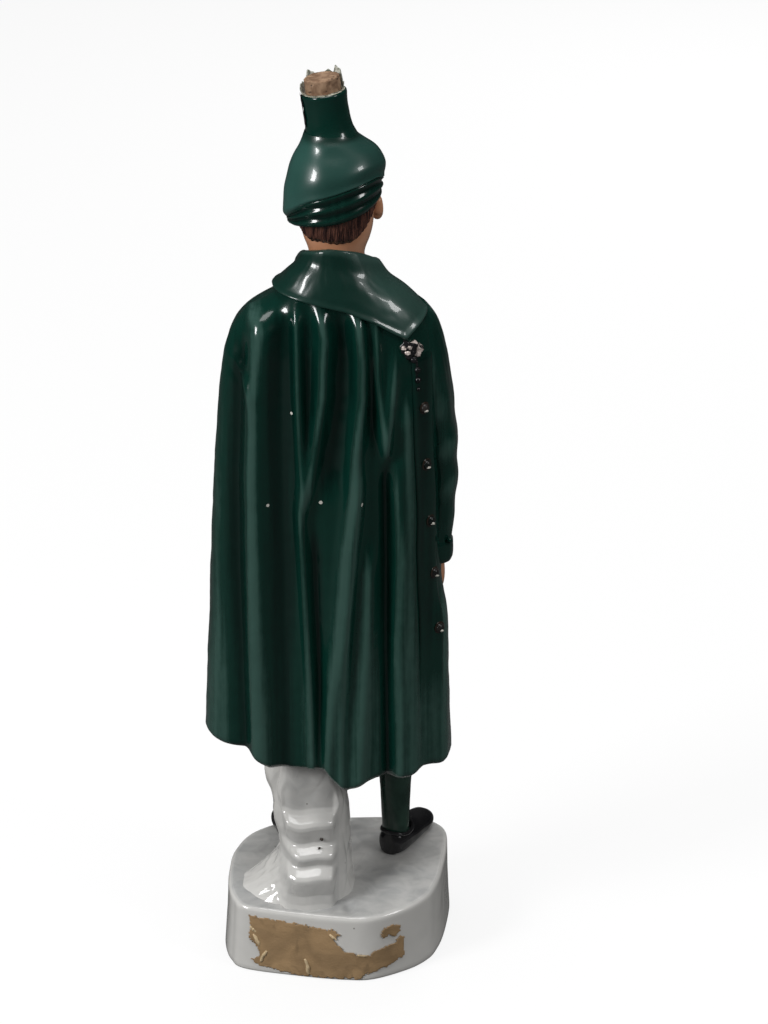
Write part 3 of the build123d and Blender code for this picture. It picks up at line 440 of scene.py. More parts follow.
# fold lines: height and width of the ridge, then places as (height, across)
foldLines = {
    "leftBulge": (1.4, 6, [(279.5, 43.0), (234.5, 44.1), (168.1, 45.7), (122.1, 47.2), (105.4, 48.2)]),
    "leftValley": (
        -2.4, 3.4,
        [(281.2, 36.2), (258.3, 37.2), (223.6, 38.8), (188.5, 38.7), (148.4, 37.4), (104.9, 36.6)],
    ),
    "bigRidge": (
        4.4, 5,
        [
            (296.1, 28.9), (288.7, 27.2), (259.8, 29.8), (225.4, 30.5), (190.2, 30.3), (149.9, 29.8),
            (101.7, 28.5),
        ],
    ),
    "bigBranch": (1.8, 2.6, [(274.5, 38.3), (268.1, 34.6), (260.4, 31.0)]),
    "darkValley": (
        -2.6, 5,
        [(295.2, 19.5), (260.9, 20.4), (217.9, 19.8), (173.7, 19.2), (128.4, 19.1), (95.9, 18.4)],
    ),
    "thinRidge": (2.4, 2.0, [(301.2, 13.4), (282.2, 13.1), (261.3, 12.7), (235.7, 11.6), (216.2, 10.8)]),
    "thinValley": (-1.6, 2.8, [(298.0, 8.6), (261.5, 8.3), (231.5, 7.9)]),
    "curveRidge": (3.0, 3.1, [(300.8, 4.6), (286.4, 1.8), (261.6, 3.0), (235.9, 6.7), (211.8, 10.4)]),
    "innerRidge": (2.6, 2.2, [(216.2, 12.1), (192.0, 10.9), (165.3, 9.7), (133.5, 8.1), (98.8, 7.0)]),
    "innerValley": (-2.0, 2.6, [(201.0, 6.4), (165.4, 5.2), (129.0, 4.0), (97.5, 3.2)]),
    "middleValley": (-2.6, 4.4, [(298.1, -4.6), (278.3, -5.4), (261.6, -5.0), (240.3, -2.2), (222.9, -0.2)]),
    "mainRidge": (
        4.2, 3.4,
        [
            (297.2, -10.6), (278.0, -13.1), (261.3, -13.1), (240.1, -10.8), (218.4, -9.2),
            (192.1, -6.4), (151.8, -3.5), (119.8, -0.2), (98.9, 1.1),
        ],
    ),
    "sideRidge": (
        2.6, 2.3,
        [(227.0, -12.4), (209.6, -11.3), (174.3, -8.5), (147.2, -6.5), (110.5, -4.8), (89.4, -4.9)],
    ),
    "smallValley": (-2.0, 3.0, [(292.0, -15.9), (275.8, -16.3), (261.1, -16.8), (244.1, -16.8)]),
    "wedgeLeft": (2.6, 2.2, [(293.8, -17.9), (269.4, -19.2), (243.7, -21.7), (234.9, -23.0)]),
    "wedgeRight": (2.6, 2.4, [(272.9, -26.0), (260.5, -24.9), (247.8, -23.7), (235.8, -23.0)]),
    "rightValley": (-3.4, 2.8, [(232.3, -23.4), (191.0, -24.1), (150.6, -24.4), (97.5, -25.6)]),
    "rightRidge": (2.8, 3.0, [(230.2, -26.3), (190.4, -28.3), (150.1, -27.7), (96.9, -29.0)]),
    "softRidge": (2.2, 3.6, [(259.7, -30.6), (216.2, -32.2), (171.7, -32.6), (126.2, -33.8), (94.4, -35.0)]),
    "lastRidge": (2.2, 3.2, [(166.4, -46.7), (130.6, -47.1), (96.2, -47.5)]),
    "tailRidge": (2.6, 3.4, [(191.7, -15.8), (151.4, -15.2), (119.5, -13.6), (89.2, -12.1)]),
}
frontFolds = {
    "leftFront": (3.0, 6.0, [(288, 24.0), (200, 37.0), (90, 44.0)]),
    "leftFrontDip": (-2.0, 3.5, [(280, 30.0), (190, 42.5), (90, 49.0)]),
    "rightFront": (2.6, 5.0, [(288, -22.0), (200, -33.0), (90, -42.5)]),
    "rightFrontDip": (-1.8, 3.0, [(280, -28.0), (190, -38.0), (90, -47.5)]),
}


def foldHeight(x, z, table):
    total, tone = 0.0, 0.0
    for height, width, places in table.values():
        top, bottom = places[0][0], places[-1][0]
        reach = cloakForm["foldReach"]
        if z > top + reach or z < bottom - reach and bottom > 110:
            continue
        fade = smooth((top + reach - z) / (2 * reach))
        if bottom > 110:
            fade *= smooth((z - bottom + reach) / (2 * reach))
        spot = along([(p[0], p[1]) for p in reversed(places)], z)[1]
        gap = abs(x - spot) / width
        if gap < 3 and height > 0:
            total += height * fade * math.exp(-gap ** 2.3)
            # tone: painted highlight along each ridge's crest
            crest = 0.5 * math.exp(-(gap * 1.3) ** 3) + 0.6 * math.exp(-(gap / 0.36) ** 2)
            tone += clamp(height / 3.4) * fade * crest
        elif gap < 3:
            total += height * fade * math.exp(-gap ** 1.7)
            # tone: painted shade down each valley
            tone -= clamp(-height / 2.4) * fade * math.exp(-(gap * 0.85) ** 1.7)
    return total, tone


def cloakSide(z):
    return softAlong(cloakForm["rows"], z)


def cloakPoint(turn, z, offset=0.0, folds=1.0):
    row = cloakSide(z)
    c, s = math.cos(turn), math.sin(turn)
    side = row[1] if c >= 0 else row[2]
    end = row[3] if s >= 0 else row[4]
    p = 2 / cloakForm["power"]
    x = side * math.copysign(abs(c) ** p, c)
    y = end * math.copysign(abs(s) ** p, s)
    nx, ny = c * end, s * side
    size = math.hypot(nx, ny)
    edge = smooth((305 - z) / 14)
    bump, tone = 0.0, 0.0
    for table, part in ((foldLines, smooth((s + 0.02) / 0.12)), (frontFolds, smooth(-s / 0.25))):
        if part > 0:
            more, shade = foldHeight(x, z, table)
            bump += more * part
            tone += shade * part
    bump *= edge * folds
    move = bump + offset + cloakForm["waver"] * rough(x, y, z, 0.06) * edge
    return (x + nx / size * move, cloakForm["middle"] + y + ny / size * move, z), tone * edge


def hemHeight(x, y):
    front = 92 + (0.145 if x < 0 else 0.36) * x
    return mix(along(cloakForm["hem"], x)[1], front, clamp((-2 - y) / 12))


def turnOf(x, z):
    row = cloakSide(z)
    side = row[1] if x >= 0 else row[2]
    part = clamp(abs(x) / side, 0, 0.999)
    return math.acos(math.copysign(part ** (cloakForm["power"] / 2), x))


def backPoint(x, z, offset=0.0):
    return cloakPoint(turnOf(x, z), z, offset)[0]


def openHalf(z):
    form = cloakForm
    if z > form["openTop"]:
        return form["openTopHalf"] * smooth(1 - (z - form["openTop"]) / 5)
    t = (form["openTop"] - z) / (form["openTop"] - 84)
    return mix(form["openTopHalf"], form["openHemHalf"], t)


# painted light on the cloak: painted reflection lightening it towards the hem and near the shoulders, painted
# highlight on the ridges and painted shade in the valleys
def cloakShade(z, tone):
    up = smooth((z - 120) / 80)
    plain = mix(0.72, 0.44, up) + 0.08 * smooth((z - 268) / 30)
    gain = mix(0.28, 0.56, up) if tone > 0 else mix(0.62, 0.5, up)
    return clamp(plain + gain * tone)


def makeCloak():
    form = cloakForm
    levels = form["levels"]
    count = form["turns"]
    rings, shades = [], []
    for level in range(levels + 1):
        t = level / levels
        outer, inner, tones = [], [], []
        high = mix(form["low"], form["top"], t)
        half = openHalf(high)
        row = cloakSide(high)
        p = form["power"] / 2
        startTurn = -math.acos(clamp(half / row[1]) ** p)
        endTurn = 2 * math.pi - math.acos(-clamp(half / row[2]) ** p)
        for i in range(count + 1):
            turn = mix(startTurn, endTurn, i / count)
            if turn > math.pi:
                turn -= 2 * math.pi
            base = cloakPoint(turn, high)[0]
            z = mix(hemHeight(base[0], base[1]), form["top"], t)
            edge = min(i, count - i) * (1 / count)
            tuck = -form["tuck"] * (1 - smooth(edge / 0.006)) ** 2
            roll = -form["roll"] * (1 - smooth(t / 0.012)) ** 2
            point, tone = cloakPoint(turn, z, tuck + roll)
            outer.append(point)
            tones.append(cloakShade(z, tone))
            thick = -form["wall"] + (1.0 if t < 0.004 else 0) - tuck
            inner.append(cloakPoint(turn, z, thick, 0.9)[0])
        rings.append(outer + inner[::-1])
        # the cloak's inside is painted dark as shade
        shades.extend(tones + [0.25] * len(inner))
    piece = ringMesh("cloak", rings, closed=True, capStart=False, capEnd=False, shades=shades)
    mesh = piece.data
    work = bmesh.new()
    work.from_mesh(mesh)
    work.verts.ensure_lookup_table()
    n = count + 1
    for base in (0, levels * 2 * n):
        for i in range(count):
            a, b = base + i, base + i + 1
            c, d = base + 2 * n - 2 - i, base + 2 * n - 1 - i
            work.faces.new([work.verts[k] for k in (a, b, c, d)])
    bmesh.ops.recalc_face_normals(work, faces=work.faces)
    for face in work.faces:
        face.smooth = True
    work.to_mesh(mesh)
    work.free()
    place(piece, cloakGreen, ("cloak_body",))


def makeUnderside():
    form = cloakForm
    count = 96
    rings = []
    for inset, rise in form["underside"]:
        ring = []
        for i in range(count):
            turn = 2 * math.pi * i / count
            row = cloakSide(100)
            c, s = math.cos(turn), math.sin(turn)
            side = (row[1] if c >= 0 else row[2]) - inset - 1.5
            end = (row[3] if s >= 0 else min(row[4], 18.0 + inset)) - inset
            z = hemHeight(side * c, end * s) + rise
            ring.append((side * c, form["middle"] + end * s, z + 0.4 * rough(side * c, end * s, z, 0.1)))
        rings.append(ring)
    # painted shade under the hem
    shades = [0.2] * (len(rings) * count)
    place(ringMesh("cloakUnderside", rings, capStart=False, shades=shades), cloakGreen)


cloakGreen = greenGlaze("cloakGreen", chips=[(*backPoint(x, z), r) for x, z, r in greenLook["chips"]])
makeCloak()
makeUnderside()
print("cloak made")

# wide turned-down collar, highest at the nape
collarForm = {
    "rows": (
        (262, 46.2, 46.8, 24.8, 30.2), (270, 45.0, 45.8, 24.0, 29.2), (283, 42.8, 43.8, 22.6, 27.6),
        (292, 37.4, 39.6, 21.2, 25.6), (299, 28.4, 33.4, 19.6, 22.4),
        (306, 19.8, 25.8, 17.8, 19.4), (312, 14.8, 20.6, 15.6, 16.6), (317, 11.4, 17.0, 14.2, 14.4),
        (322, 8.8, 14.4, 12.8, 12.6),
    ),
    "edge": ((-38, 280.5), (-29, 285.6), (-18, 292.3), (-6.2, 297.2), (8, 300.4), (24, 303.2)),
    "end": (286.3, -33.2, 0.87),  # height, place and slope of the slanting end
    "rim": 321.0,
    "leftDrop": 4.4,
    "rightDrop": 7.5,
    "frontDrop": 17.0,
    "turns": 320,
    "levels": 46,
    "hemPath": ((0.0, 3.4, 0.2), (0.0, 2.2, 0.0), (0.0, 1.2, 0.0), (0.003, 0.55, 0.0), (0.012, 0.15, 0.0)),
    "rimPath": (
        (0.992, 0.12, 0.0), (1.0, 0.55, -0.25), (1.0, 1.2, -0.45), (1.0, 1.9, -0.2),
        (1.0, 2.4, 0.7), (1.0, 2.7, 2.4), (1.0, 2.8, 6.0),
    ),
}


def collarPoint(turn, z, inset):
    row = softAlong(collarForm["rows"], z)
    c, s = math.cos(turn), math.sin(turn)
    side = row[1] if c >= 0 else row[2]
    end = row[3] if s >= 0 else row[4]
    p = 2 / mix(2.25, 2.0, smooth((z - 296) / 14))
    x = side * math.copysign(abs(c) ** p, c)
    y = end * math.copysign(abs(s) ** p, s)
    nx, ny = c * end, s * side
    size = math.hypot(nx, ny)
    return (x - nx / size * inset, cloakForm["middle"] + y - ny / size * inset, z)


def collarLow(turn):
    form = collarForm
    z = 298.0
    for _ in range(16):
        p = collarPoint(turn, clamp(z, 262, 318), 0)
        goal = along(form["edge"], p[0])[1]
        high, x0, slope = form["end"]
        goal = max(goal, high - slope * (p[0] - x0))
        z = mix(z, clamp(goal, 262, 316), 0.4)
    return z


def collarRim(turn):
    form = collarForm
    c, s = math.cos(turn), math.sin(turn)
    side = mix(form["rightDrop"], form["leftDrop"], (c + 1) / 2)
    return form["rim"] - (side * (1 - s) if s >= 0 else side + (form["frontDrop"] - side) * smooth(-s))


def makeCollar():
    form = collarForm
    rings, shades = [], []
    count, levels = form["turns"], form["levels"]
    turns = [2 * math.pi * i / count for i in range(count)]
    lows = [collarLow(turn) for turn in turns]
    rims = [collarRim(turn) for turn in turns]
    path = [*form["hemPath"], *((k / levels, 0.0, 0.0) for k in range(1, levels)), *form["rimPath"]]
    for t, inset, sink in path:
        ring = []
        for i, turn in enumerate(turns):
            low = lows[i]
            high = max(rims[i], low + 3.0)
            z = mix(low, high, t) - sink
            lip = 0.55 * math.exp(-((t - 0.035) / 0.045) ** 2)
            swell = 0.7 * math.exp(-((t - 0.45) / 0.25) ** 2) * math.sin(2.6 * turn + 0.5)
            swell -= 0.8 * math.exp(-((t - 0.72) / 0.16) ** 2)
            ripple = 0.25 * rough(math.cos(turn) * 2, math.sin(turn) * 2, z * 0.07, 1.0)
            inward = -(lip + swell + ripple) if inset == 0.0 else inset - lip
            ring.append(collarPoint(turn, z, inward))
            # painted light on the collar: painted highlight along the rolled lip and the top fold, painted
            # reflection lightening the right wing
            right = smooth((turn - 1.7) / 0.8) * smooth((4.4 - turn) / 0.8)
            rimHighlight = 0.3 * math.exp(-((t - 0.98) / 0.07) ** 2)
            shades.append(clamp(0.5 + 0.2 * lip + 0.3 * right + rimHighlight))
        rings.append(ring)
    piece = ringMesh("collar", rings, capStart=False, capEnd=False, shades=shades)
    place(piece, wingGreen, ("cloak_collar",))


makeCollar()
print("collar made")

# buttoned strip, its buttons, the clasp and the beads
placketForm = {
    "top": (-37.0, 277.0),
    "end": (-43.2, 104.0),
    "half": 4.3,
    "thick": 0.75,
    "across": (
        (-1.0, -0.3), (-0.99, 0.3), (-0.93, 0.85), (-0.8, 1.0), (-0.4, 0.82), (0.0, 0.78),
        (0.4, 0.82), (0.8, 1.0), (0.93, 0.85), (0.99, 0.3), (1.0, -0.3),
    ),
    "steps": 150,
    "buttons": ((-38.4, 253.8), (-39.5, 229.1), (-41.4, 203.6), (-43.3, 179.5), (-44.6, 154.6)),
    "radius": 2.1,
    "dome": 1.9,
    "seat": 0.7,
}


def placketMiddle(z):
    (x1, z1), (x2, z2) = placketForm["top"], placketForm["end"]
    return mix(x2, x1, (z - z2) / (z1 - z2))


def makePlacket():
    form = placketForm
    rings, shades = [], []
    across, steps = form["across"], form["steps"]
    for k in range(steps + 1):
        z = mix(form["end"][1], form["top"][1], k / steps)
        fade = smooth(min(k, steps - k) / 2.0)
        melt = max(0.1, smooth((z - 112) / 50))  # thins out towards the hem
        middle = placketMiddle(z) + 0.25 * math.sin(z * 0.11)
        for share, height in across:
            x = max(-cloakSide(z)[2] * 0.985, middle + share * form["half"])
            rings.append(backPoint(x, z, form["thick"] * height * mix(0.2, 1, fade) * melt))
            # painted shade: the strip's middle is darker than its raised edges; lower down it takes the
            # cloak's painted light
            plain = cloakShade(z, cloakPoint(turnOf(x, z), z)[1])
            shades.append(clamp(mix(plain, 0.04 + 0.3 * height ** 3, smooth((z - 116) / 50))))
    n = len(across)
    rows = [rings[k * n:(k + 1) * n] for k in range(steps + 1)]
    piece = ringMesh("placket", rows, closed=False, capStart=False, capEnd=False, shades=shades)
    place(piece, capGreen, ("button_placket",))


def facing(p, turn):
    back = Vector((math.sin(-turn), math.cos(turn), 0.0)).normalized()
    side = back.cross(Vector((0, 0, 1))).normalized()
    rise = side.cross(back)
    return Vector(p), side, rise, back


def domeMesh(name, p, turn, radius, dome):
    spot, side, rise, back = facing(p, turn)
    profile = [(1.0, -0.8), (1.02, 0.0), (1.0, 0.35), (0.9, 0.62), (0.72, 0.82), (0.48, 0.94), (0.22, 1.0)]
    rings = []
    for r, h in profile:
        ring = []
        for i in range(20):
            a = 2 * math.pi * i / 20
            q = spot + side * (radius * r * math.cos(a)) + rise * (radius * r * math.sin(a))
            ring.append(tuple(q + back * (dome * h)))
        rings.append(ring)
    return ringMesh(name, rings)


def sideTurn(x, z):
    a, b = backPoint(x - 1.5, z), backPoint(x + 1.5, z)
    return math.atan2(b[1] - a[1], b[0] - a[0])


def makeButtons():
    form = placketForm
    parts, rims, glints = [], [], []
    for x, z in form["buttons"]:
        x = max(x, -cloakSide(z)[2] * 0.965)
        seat = form["thick"] * form["seat"]
        spot = backPoint(x, z, seat)
        turn = sideTurn(x, z)
        parts.append(domeMesh("placketButtons", spot, turn, form["radius"], form["dome"]))
        rims.append(domeMesh("buttonRims", spot, turn, form["radius"] * 1.28, form["dome"] * 0.28))
        # a small pale spot on each button: a painted highlight
        near = backPoint(x + 0.35, z - 0.75, seat + form["dome"] * 0.86)
        glints.append(blob("buttonGlints", near, (0.95, 0.42, 0.5), 0.5, z))
    place(joinPieces("placketButtons", parts), buttonDark, ("placket_buttons",), levels=1)
    place(joinPieces("buttonRims", rims), eyeDark, levels=1)
    place(joinPieces("buttonGlints", glints), glintWhite)


def blob(name, spot, size, lumps=0.25, seed=0.0, scale=0.9, count=26):
    rings = []
    for k in range(1, count // 2):
        v = math.pi * k / (count // 2)
        ring = []
        for i in range(count):
            a = 2 * math.pi * i / count
            d = Vector((math.sin(v) * math.cos(a), math.sin(v) * math.sin(a), math.cos(v)))
            grow = 1 + lumps * noise.noise(d * scale * 2 + Vector((seed, seed * 1.7, 3.1)))
            ring.append(tuple(spot[c] + size[c] * d[c] * grow for c in range(3)))
        rings.append(ring)
    return ringMesh(name, rings)


claspForm = {
    "spot": (-32.4, 280.4),
    "lumps": (
        (-2.9, -0.6, 2.1), (-1.2, 1.4, 1.9), (-2.6, -2.6, 1.5), (0.6, 0.6, 1.2),
        (2.8, 0.6, 1.1), (1.2, -1.5, 1.2), (-0.8, -1.2, 1.3),
    ),
    "bed": (-31.0, 280.0),
    "bedSize": (4.3, 0.9, 3.6),
    "beads": ((-33.6, 275.5, 1.5), (-35.2, 270.9, 1.35), (-35.4, 266.6, 1.35), (-35.6, 262.8, 0.9)),
    "links": (273.4, 268.8),
}


def makeClasp():
    form = claspForm
    parts = []
    for k, (dx, dz, size) in enumerate(form["lumps"]):
        p = backPoint(form["spot"][0] + dx, form["spot"][1] + dz, 1.0)
        parts.append(blob("clasp", p, (size, 1.1, size * 0.85), 0.7, k * 3.7, 1.6))
    under = blob("claspBed", backPoint(*form["bed"], 0.3), form["bedSize"], 0.5, 2.0)
    place(under, shoeBlack)
    place(joinPieces("clasp", parts), lustre, ("shoulder_clasp",), levels=1)
    low = []
    for x, z, r in form["beads"]:
        low.append(blob("beads", backPoint(x, z, 0.8), (r, r, r), 0.12, x, 1.2, 22))
    for z in form["links"]:
        low.append(blob("beadLinks", backPoint(-35.0, z, 0.5), (0.6, 0.6, 1.6), 0.1, z, 1.2, 12))
    place(joinPieces("beads", low), shoeBlack, ("clasp_beads",), levels=1)


makePlacket()
makeButtons()
makeClasp()
print("strip and buttons made")

# right sleeve and hand
sleeveForm = {
    "rows": (
        (180.0, -44.3, 6.9, 8.6), (182.0, -44.4, 7.5, 9.2), (188.5, -44.5, 7.6, 9.6),
        (190.0, -44.6, 6.9, 9.0), (206.0, -45.3, 7.6, 9.8),
        (224.0, -46.0, 7.9, 10.4), (237.0, -45.3, 8.0, 10.6), (251.0, -43.6, 8.0, 10.6),
        (262.0, -42.0, 8.2, 10.8), (275.0, -39.6, 8.0, 10.6),
        (286.0, -36.8, 7.4, 9.4), (293.0, -33.8, 5.6, 7.4), (297.0, -31.6, 3.2, 4.4),
    ),
    "y": -4.0,
}


def makeSleeve():
    rings, shades = [], []
    count = 96
    for k in range(150):
        z = mix(180.0, 297.0, k / 149)
        row = softAlong(sleeveForm["rows"], z)
        ring = []
        for i in range(count):
            a = 2 * math.pi * i / count
            pull = 0.45 * math.sin(0.33 * z + 1.6 * math.cos(a) + 0.7) * math.exp(-((z - 226) / 26) ** 2)
            drape = 0.55 * math.sin(3 * a + 0.035 * z) * smooth((z - 186) / 20)
            grow = pull + drape + 0.3 * rough(a, z * 0.03, 2.0, 1.4)
            x = row[1] + (row[2] + grow) * math.cos(a)
            y = sleeveForm["y"] + (row[3] + grow) * math.sin(a)
            ring.append((x, y, z))
            # painted shade: lighter on the drape's ridges, darker in its dips
            shades.append(clamp(0.5 + 0.35 * (pull + drape)))
        rings.append(ring)
    inside = [(mix(p[0], -44.3, 0.16), mix(p[1], -4, 0.16), 179.9) for p in rings[0]]
    deep = [(mix(p[0], -44.3, 0.2), mix(p[1], -4, 0.2), 183.5) for p in rings[0]]
    # the two inner rings are painted dark as shade inside the cuff
    piece = ringMesh("sleeve", [deep, inside] + rings, shades=[0.2] * (2 * count) + shades)
    place(piece, capGreen, ("right_sleeve",))
    button = domeMesh("cuffButton", (-50.2, 3.4, 190.6), math.radians(48), 1.3, 1.3)
    place(button, plainGreen, levels=1)


def tube(name, points, radii, count=14):
    rings = []
    for k, p in enumerate(points):
        a = Vector(points[max(0, k - 1)])
        b = Vector(points[min(len(points) - 1, k + 1)])
        way = (b - a).normalized()
        side = way.cross(Vector((0, 0, 1)) if abs(way.z) < 0.9 else Vector((0, 1, 0))).normalized()
        other = way.cross(side)
        ring = []
        for i in range(count):
            t = 2 * math.pi * i / count
            ring.append(tuple(Vector(p) + side * (radii[k] * math.cos(t)) + other * (radii[k] * math.sin(t))))
        rings.append(ring)
    return ringMesh(name, rings)


handForm = {
    "x": -45.4,
    "y": -9.0,
    "palm": (
        (184, 0.8, 4.2, 3.4, 4.4), (179, 0.5, 3.2, 3.3, 4.4), (175, 0.2, 1.6, 3.5, 5.6),
        (170.5, 0, 0.6, 3.6, 6.6), (166.5, 0, 0.4, 3.2, 6.8), (164.5, 0, 0.4, 2.4, 6.2),
    ),
    "fingers": (8.6, 10.8, 10.2, 8.0),
    "fingerRadii": (1.6, 1.75, 1.65, 1.35, 0.7),
    "thumb": (
        (0.5, -4.4, 175.5), (0.2, -6.6, 171.5), (0.4, -7.6, 167), (0.9, -7.8, 163.6), (1.1, -7.8, 162.8),
    ),
    "thumbRadii": (1.7, 2.0, 1.8, 1.4, 0.7),
}


def makeHand():
    form = handForm
    x, y = form["x"], form["y"]
    rings = []
    turns = [2 * math.pi * i / 28 for i in range(28)]
    for z, dx, dy, rx, ry in form["palm"]:
        rings.append([(x + dx + rx * math.cos(t), y + dy + ry * math.sin(t), z) for t in turns])
    parts = [ringMesh("hand", rings)]
    for k, length in enumerate(form["fingers"]):
        fy = y + 0.4 + (k - 1.5) * -3.3
        curl = 1.6 + 0.2 * k
        points = [
            (x, fy, 168), (x - 0.1, fy, 166 - length * 0.35),
            (x + curl * 0.4, fy + 0.1, 166 - length * 0.7),
        ]
        points += [(x + curl, fy + 0.2, 165.4 - length), (x + curl * 1.2, fy + 0.2, 164.9 - length)]
        parts.append(tube("finger", points, form["fingerRadii"]))
    points = [(x + dx, y + dy, z) for dx, dy, z in form["thumb"]]
    parts.append(tube("thumb", points, form["thumbRadii"]))
    place(joinPieces("hand", parts), skinTan, ("right_hand",), levels=1)


makeSleeve()
makeHand()
print("sleeve and hand made")

# tunic, belt, buckle and kilt in the open front
frontForm = {
    "tunic": (
        (206, 35.0, 25.4), (214, 35.2, 25.2), (232, 36, 26.6), (255, 36, 27.6), (275, 34, 26.8),
        (288, 31, 23.6), (297, 26, 20.2), (304, 18, 16.6), (312, 13.5, 12.8),
    ),
    "kilt": ((136.6, 40.0, 28.9), (150, 39, 28.4), (175, 37, 27.4), (196, 35.5, 26.2), (207, 35, 25.7)),
    "belt": (205.2, 213.0),
    "buckle": (5.2, 4.6),
    "buttonHeights": (286.5, 269.5, 252.5, 235.5),
    "pleats": 17,
    "margin": 1.5,  # how far the sheets reach behind the open edges
}


def frontPoint(table, x, z, offset=0.0):
    row = softAlong(table, z)
    part = clamp(abs(x) / row[1], 0, 0.995)
    return (x, cloakForm["middle"] - (row[2] + offset) * math.sqrt(1 - part * part), z)


def makeFront():
    form = frontForm
    steps = 60

    def sheetRows(table, low, high, levels, bump):
        rows, tones = [], []
        for k in range(levels + 1):
            z = mix(low, high, k / levels)
            half = (openHalf(z) if z < cloakForm["openTop"] else cloakForm["openTopHalf"]) + form["margin"]
            row = []
            for i in range(steps * 3 + 1):
                x = mix(half, -half, i / (steps * 3))
                extra = bump(x, z, half)
                row.append(frontPoint(table, x, z, extra))
                # painted shade: raised folds lighter, hollows darker; only the kilt's finish reads it
                tones.append(clamp(0.5 + extra * 0.5))
            rows.append(row)
        return rows, tones

    def tunicBump(x, z, half):
        seam = -0.5 * math.exp(-((x + 1.6) / 0.5) ** 2)
        crease = 0.35 * math.sin(0.5 * x + 0.12 * z) * smooth((232 - z) / 20)
        return seam + crease + 0.25 * rough(x, z, 0, 0.07)

    def pleatBump(x, z, half):
        phase = (x / half * form["pleats"] / 2) % 1.0
        rise = 1.5 * phase if phase < 0.85 else 1.5 * 0.85 * (1 - (phase - 0.85) / 0.15)
        return (rise - 0.6) * mix(1.0, 0.35, smooth((z - 140) / 60))

    rows, tones = sheetRows(form["tunic"], form["tunic"][0][0], form["tunic"][-1][0], 90, tunicBump)
    piece = ringMesh("tunic", rows, closed=False, capStart=False, capEnd=False, shades=tones)
    place(piece, tunicGreen, ("tunic_front",))
    rows, tones = sheetRows(form["kilt"], form["kilt"][0][0], form["kilt"][-1][0], 50, pleatBump)
    under = [(p[0], p[1] + 1.6, p[2] + 0.1) for p in rows[0]]
    deep = [(p[0], -17.0, p[2] + 2.5) for p in rows[0]]
    # painted shade inside the kilt's hem
    tones = [0.2] * (2 * len(under)) + tones
    piece = ringMesh("kilt", [deep, under] + rows, closed=False, capStart=False, capEnd=False, shades=tones)
    place(piece, kiltGlaze, ("kilt",))
    low, high = form["belt"]
    rows = []
    middle = mix(low, high, 0.5)
    edges = [(low, -0.4), (low + 0.1, 0.9), (low + 0.7, 1.5), (middle, 1.65)]
    edges += [(high - 0.7, 1.5), (high - 0.1, 0.9), (high, -0.4)]
    for z, offset in edges:
        half = openHalf(z) + 1.2
        rows.append([frontPoint(form["tunic"], mix(half, -half, i / 60), z, offset) for i in range(61)])
    piece = ringMesh("belt", rows, closed=False, capStart=False, capEnd=False)
    place(piece, shoeBlack, ("waist_belt",), levels=1)
    front = cloakForm["middle"] - 26.9
    w, h = form["buckle"]
    rings = []
    for k in range(33):
        t = 2 * math.pi * k / 32
        c, s = math.cos(t), math.sin(t)
        px = w * math.copysign(abs(c) ** 0.35, c)
        pz = h * math.copysign(abs(s) ** 0.35, s)
        ring = []
        for j in range(12):
            a = 2 * math.pi * j / 12
            reach = 0.85 * math.cos(a)
            ring.append((px + reach * c, front - 0.4 - 0.75 * math.sin(a), middle + pz + reach * s))
        rings.append(ring)
    bars = [ringMesh("buckle", rings, capStart=False, capEnd=False)]
    pin = [(-4.6, front - 0.9, middle), (0, front - 1.4, middle), (5.0, front - 1.0, middle)]
    bars.append(tube("tongue", pin, [0.7, 0.75, 0.6], 10))
    place(joinPieces("buckle", bars), fineLustre, ("belt_buckle",), levels=1)
    parts = []
    for z in form["buttonHeights"]:
        p = frontPoint(form["tunic"], 0.6, z, 0.2)
        parts.append(domeMesh("tunicButtons", p, math.pi, 1.6, 1.3))
    place(joinPieces("tunicButtons", parts), fineLustre, ("tunic_buttons",), levels=1)


makeFront()
print("front made")

# legs, stockings and shoes
legForm = {
    "right": (
        (36, -29.2, -15.0, 6.0), (42, -29.2, -15.3, 5.9), (50, -29.1, -15.8, 6.1),
        (62, -29.0, -17.0, 6.7), (74, -28.8, -18.2, 7.4), (86, -28.6, -19.6, 7.9),
        (98, -28.2, -21.3, 8.1), (104.5, -27.9, -22.4, 7.2), (105.5, -27.8, -22.5, 7.1),
        (111.6, -27.6, -23.3, 7.0), (112.4, -27.6, -23.4, 6.0),
    ),
    "left": (
        (36, 13.5, -15.0, 6.0), (42, 13.5, -15.3, 5.9), (50, 13.7, -15.8, 6.1), (62, 13.9, -17.0, 6.7),
        (74, 14.1, -18.2, 7.4), (86, 14.2, -19.6, 7.9), (98, 14.4, -21.3, 8.1),
        (104.5, 14.4, -22.4, 7.2), (105.5, 14.5, -22.5, 7.1), (111.6, 14.5, -23.3, 7.0),
        (112.4, 14.5, -23.4, 6.0),
    ),
    "rightKnee": (
        (110, -27.6, -23.4, 6.0), (116, -27.0, -23.6, 6.1), (121, -26.2, -23.8, 6.6),
        (126, -25.2, -23.6, 6.5), (132, -24.0, -23.4, 6.7), (139, -22.5, -23.4, 6.9),
    ),
    "leftKnee": (
        (110, 14.5, -23.4, 6.0), (116, 14.2, -23.6, 6.1), (121, 13.8, -23.8, 6.6),
        (126, 13.3, -23.6, 6.5), (132, 12.6, -23.4, 6.7), (139, 12.0, -23.4, 6.9),
    ),
}


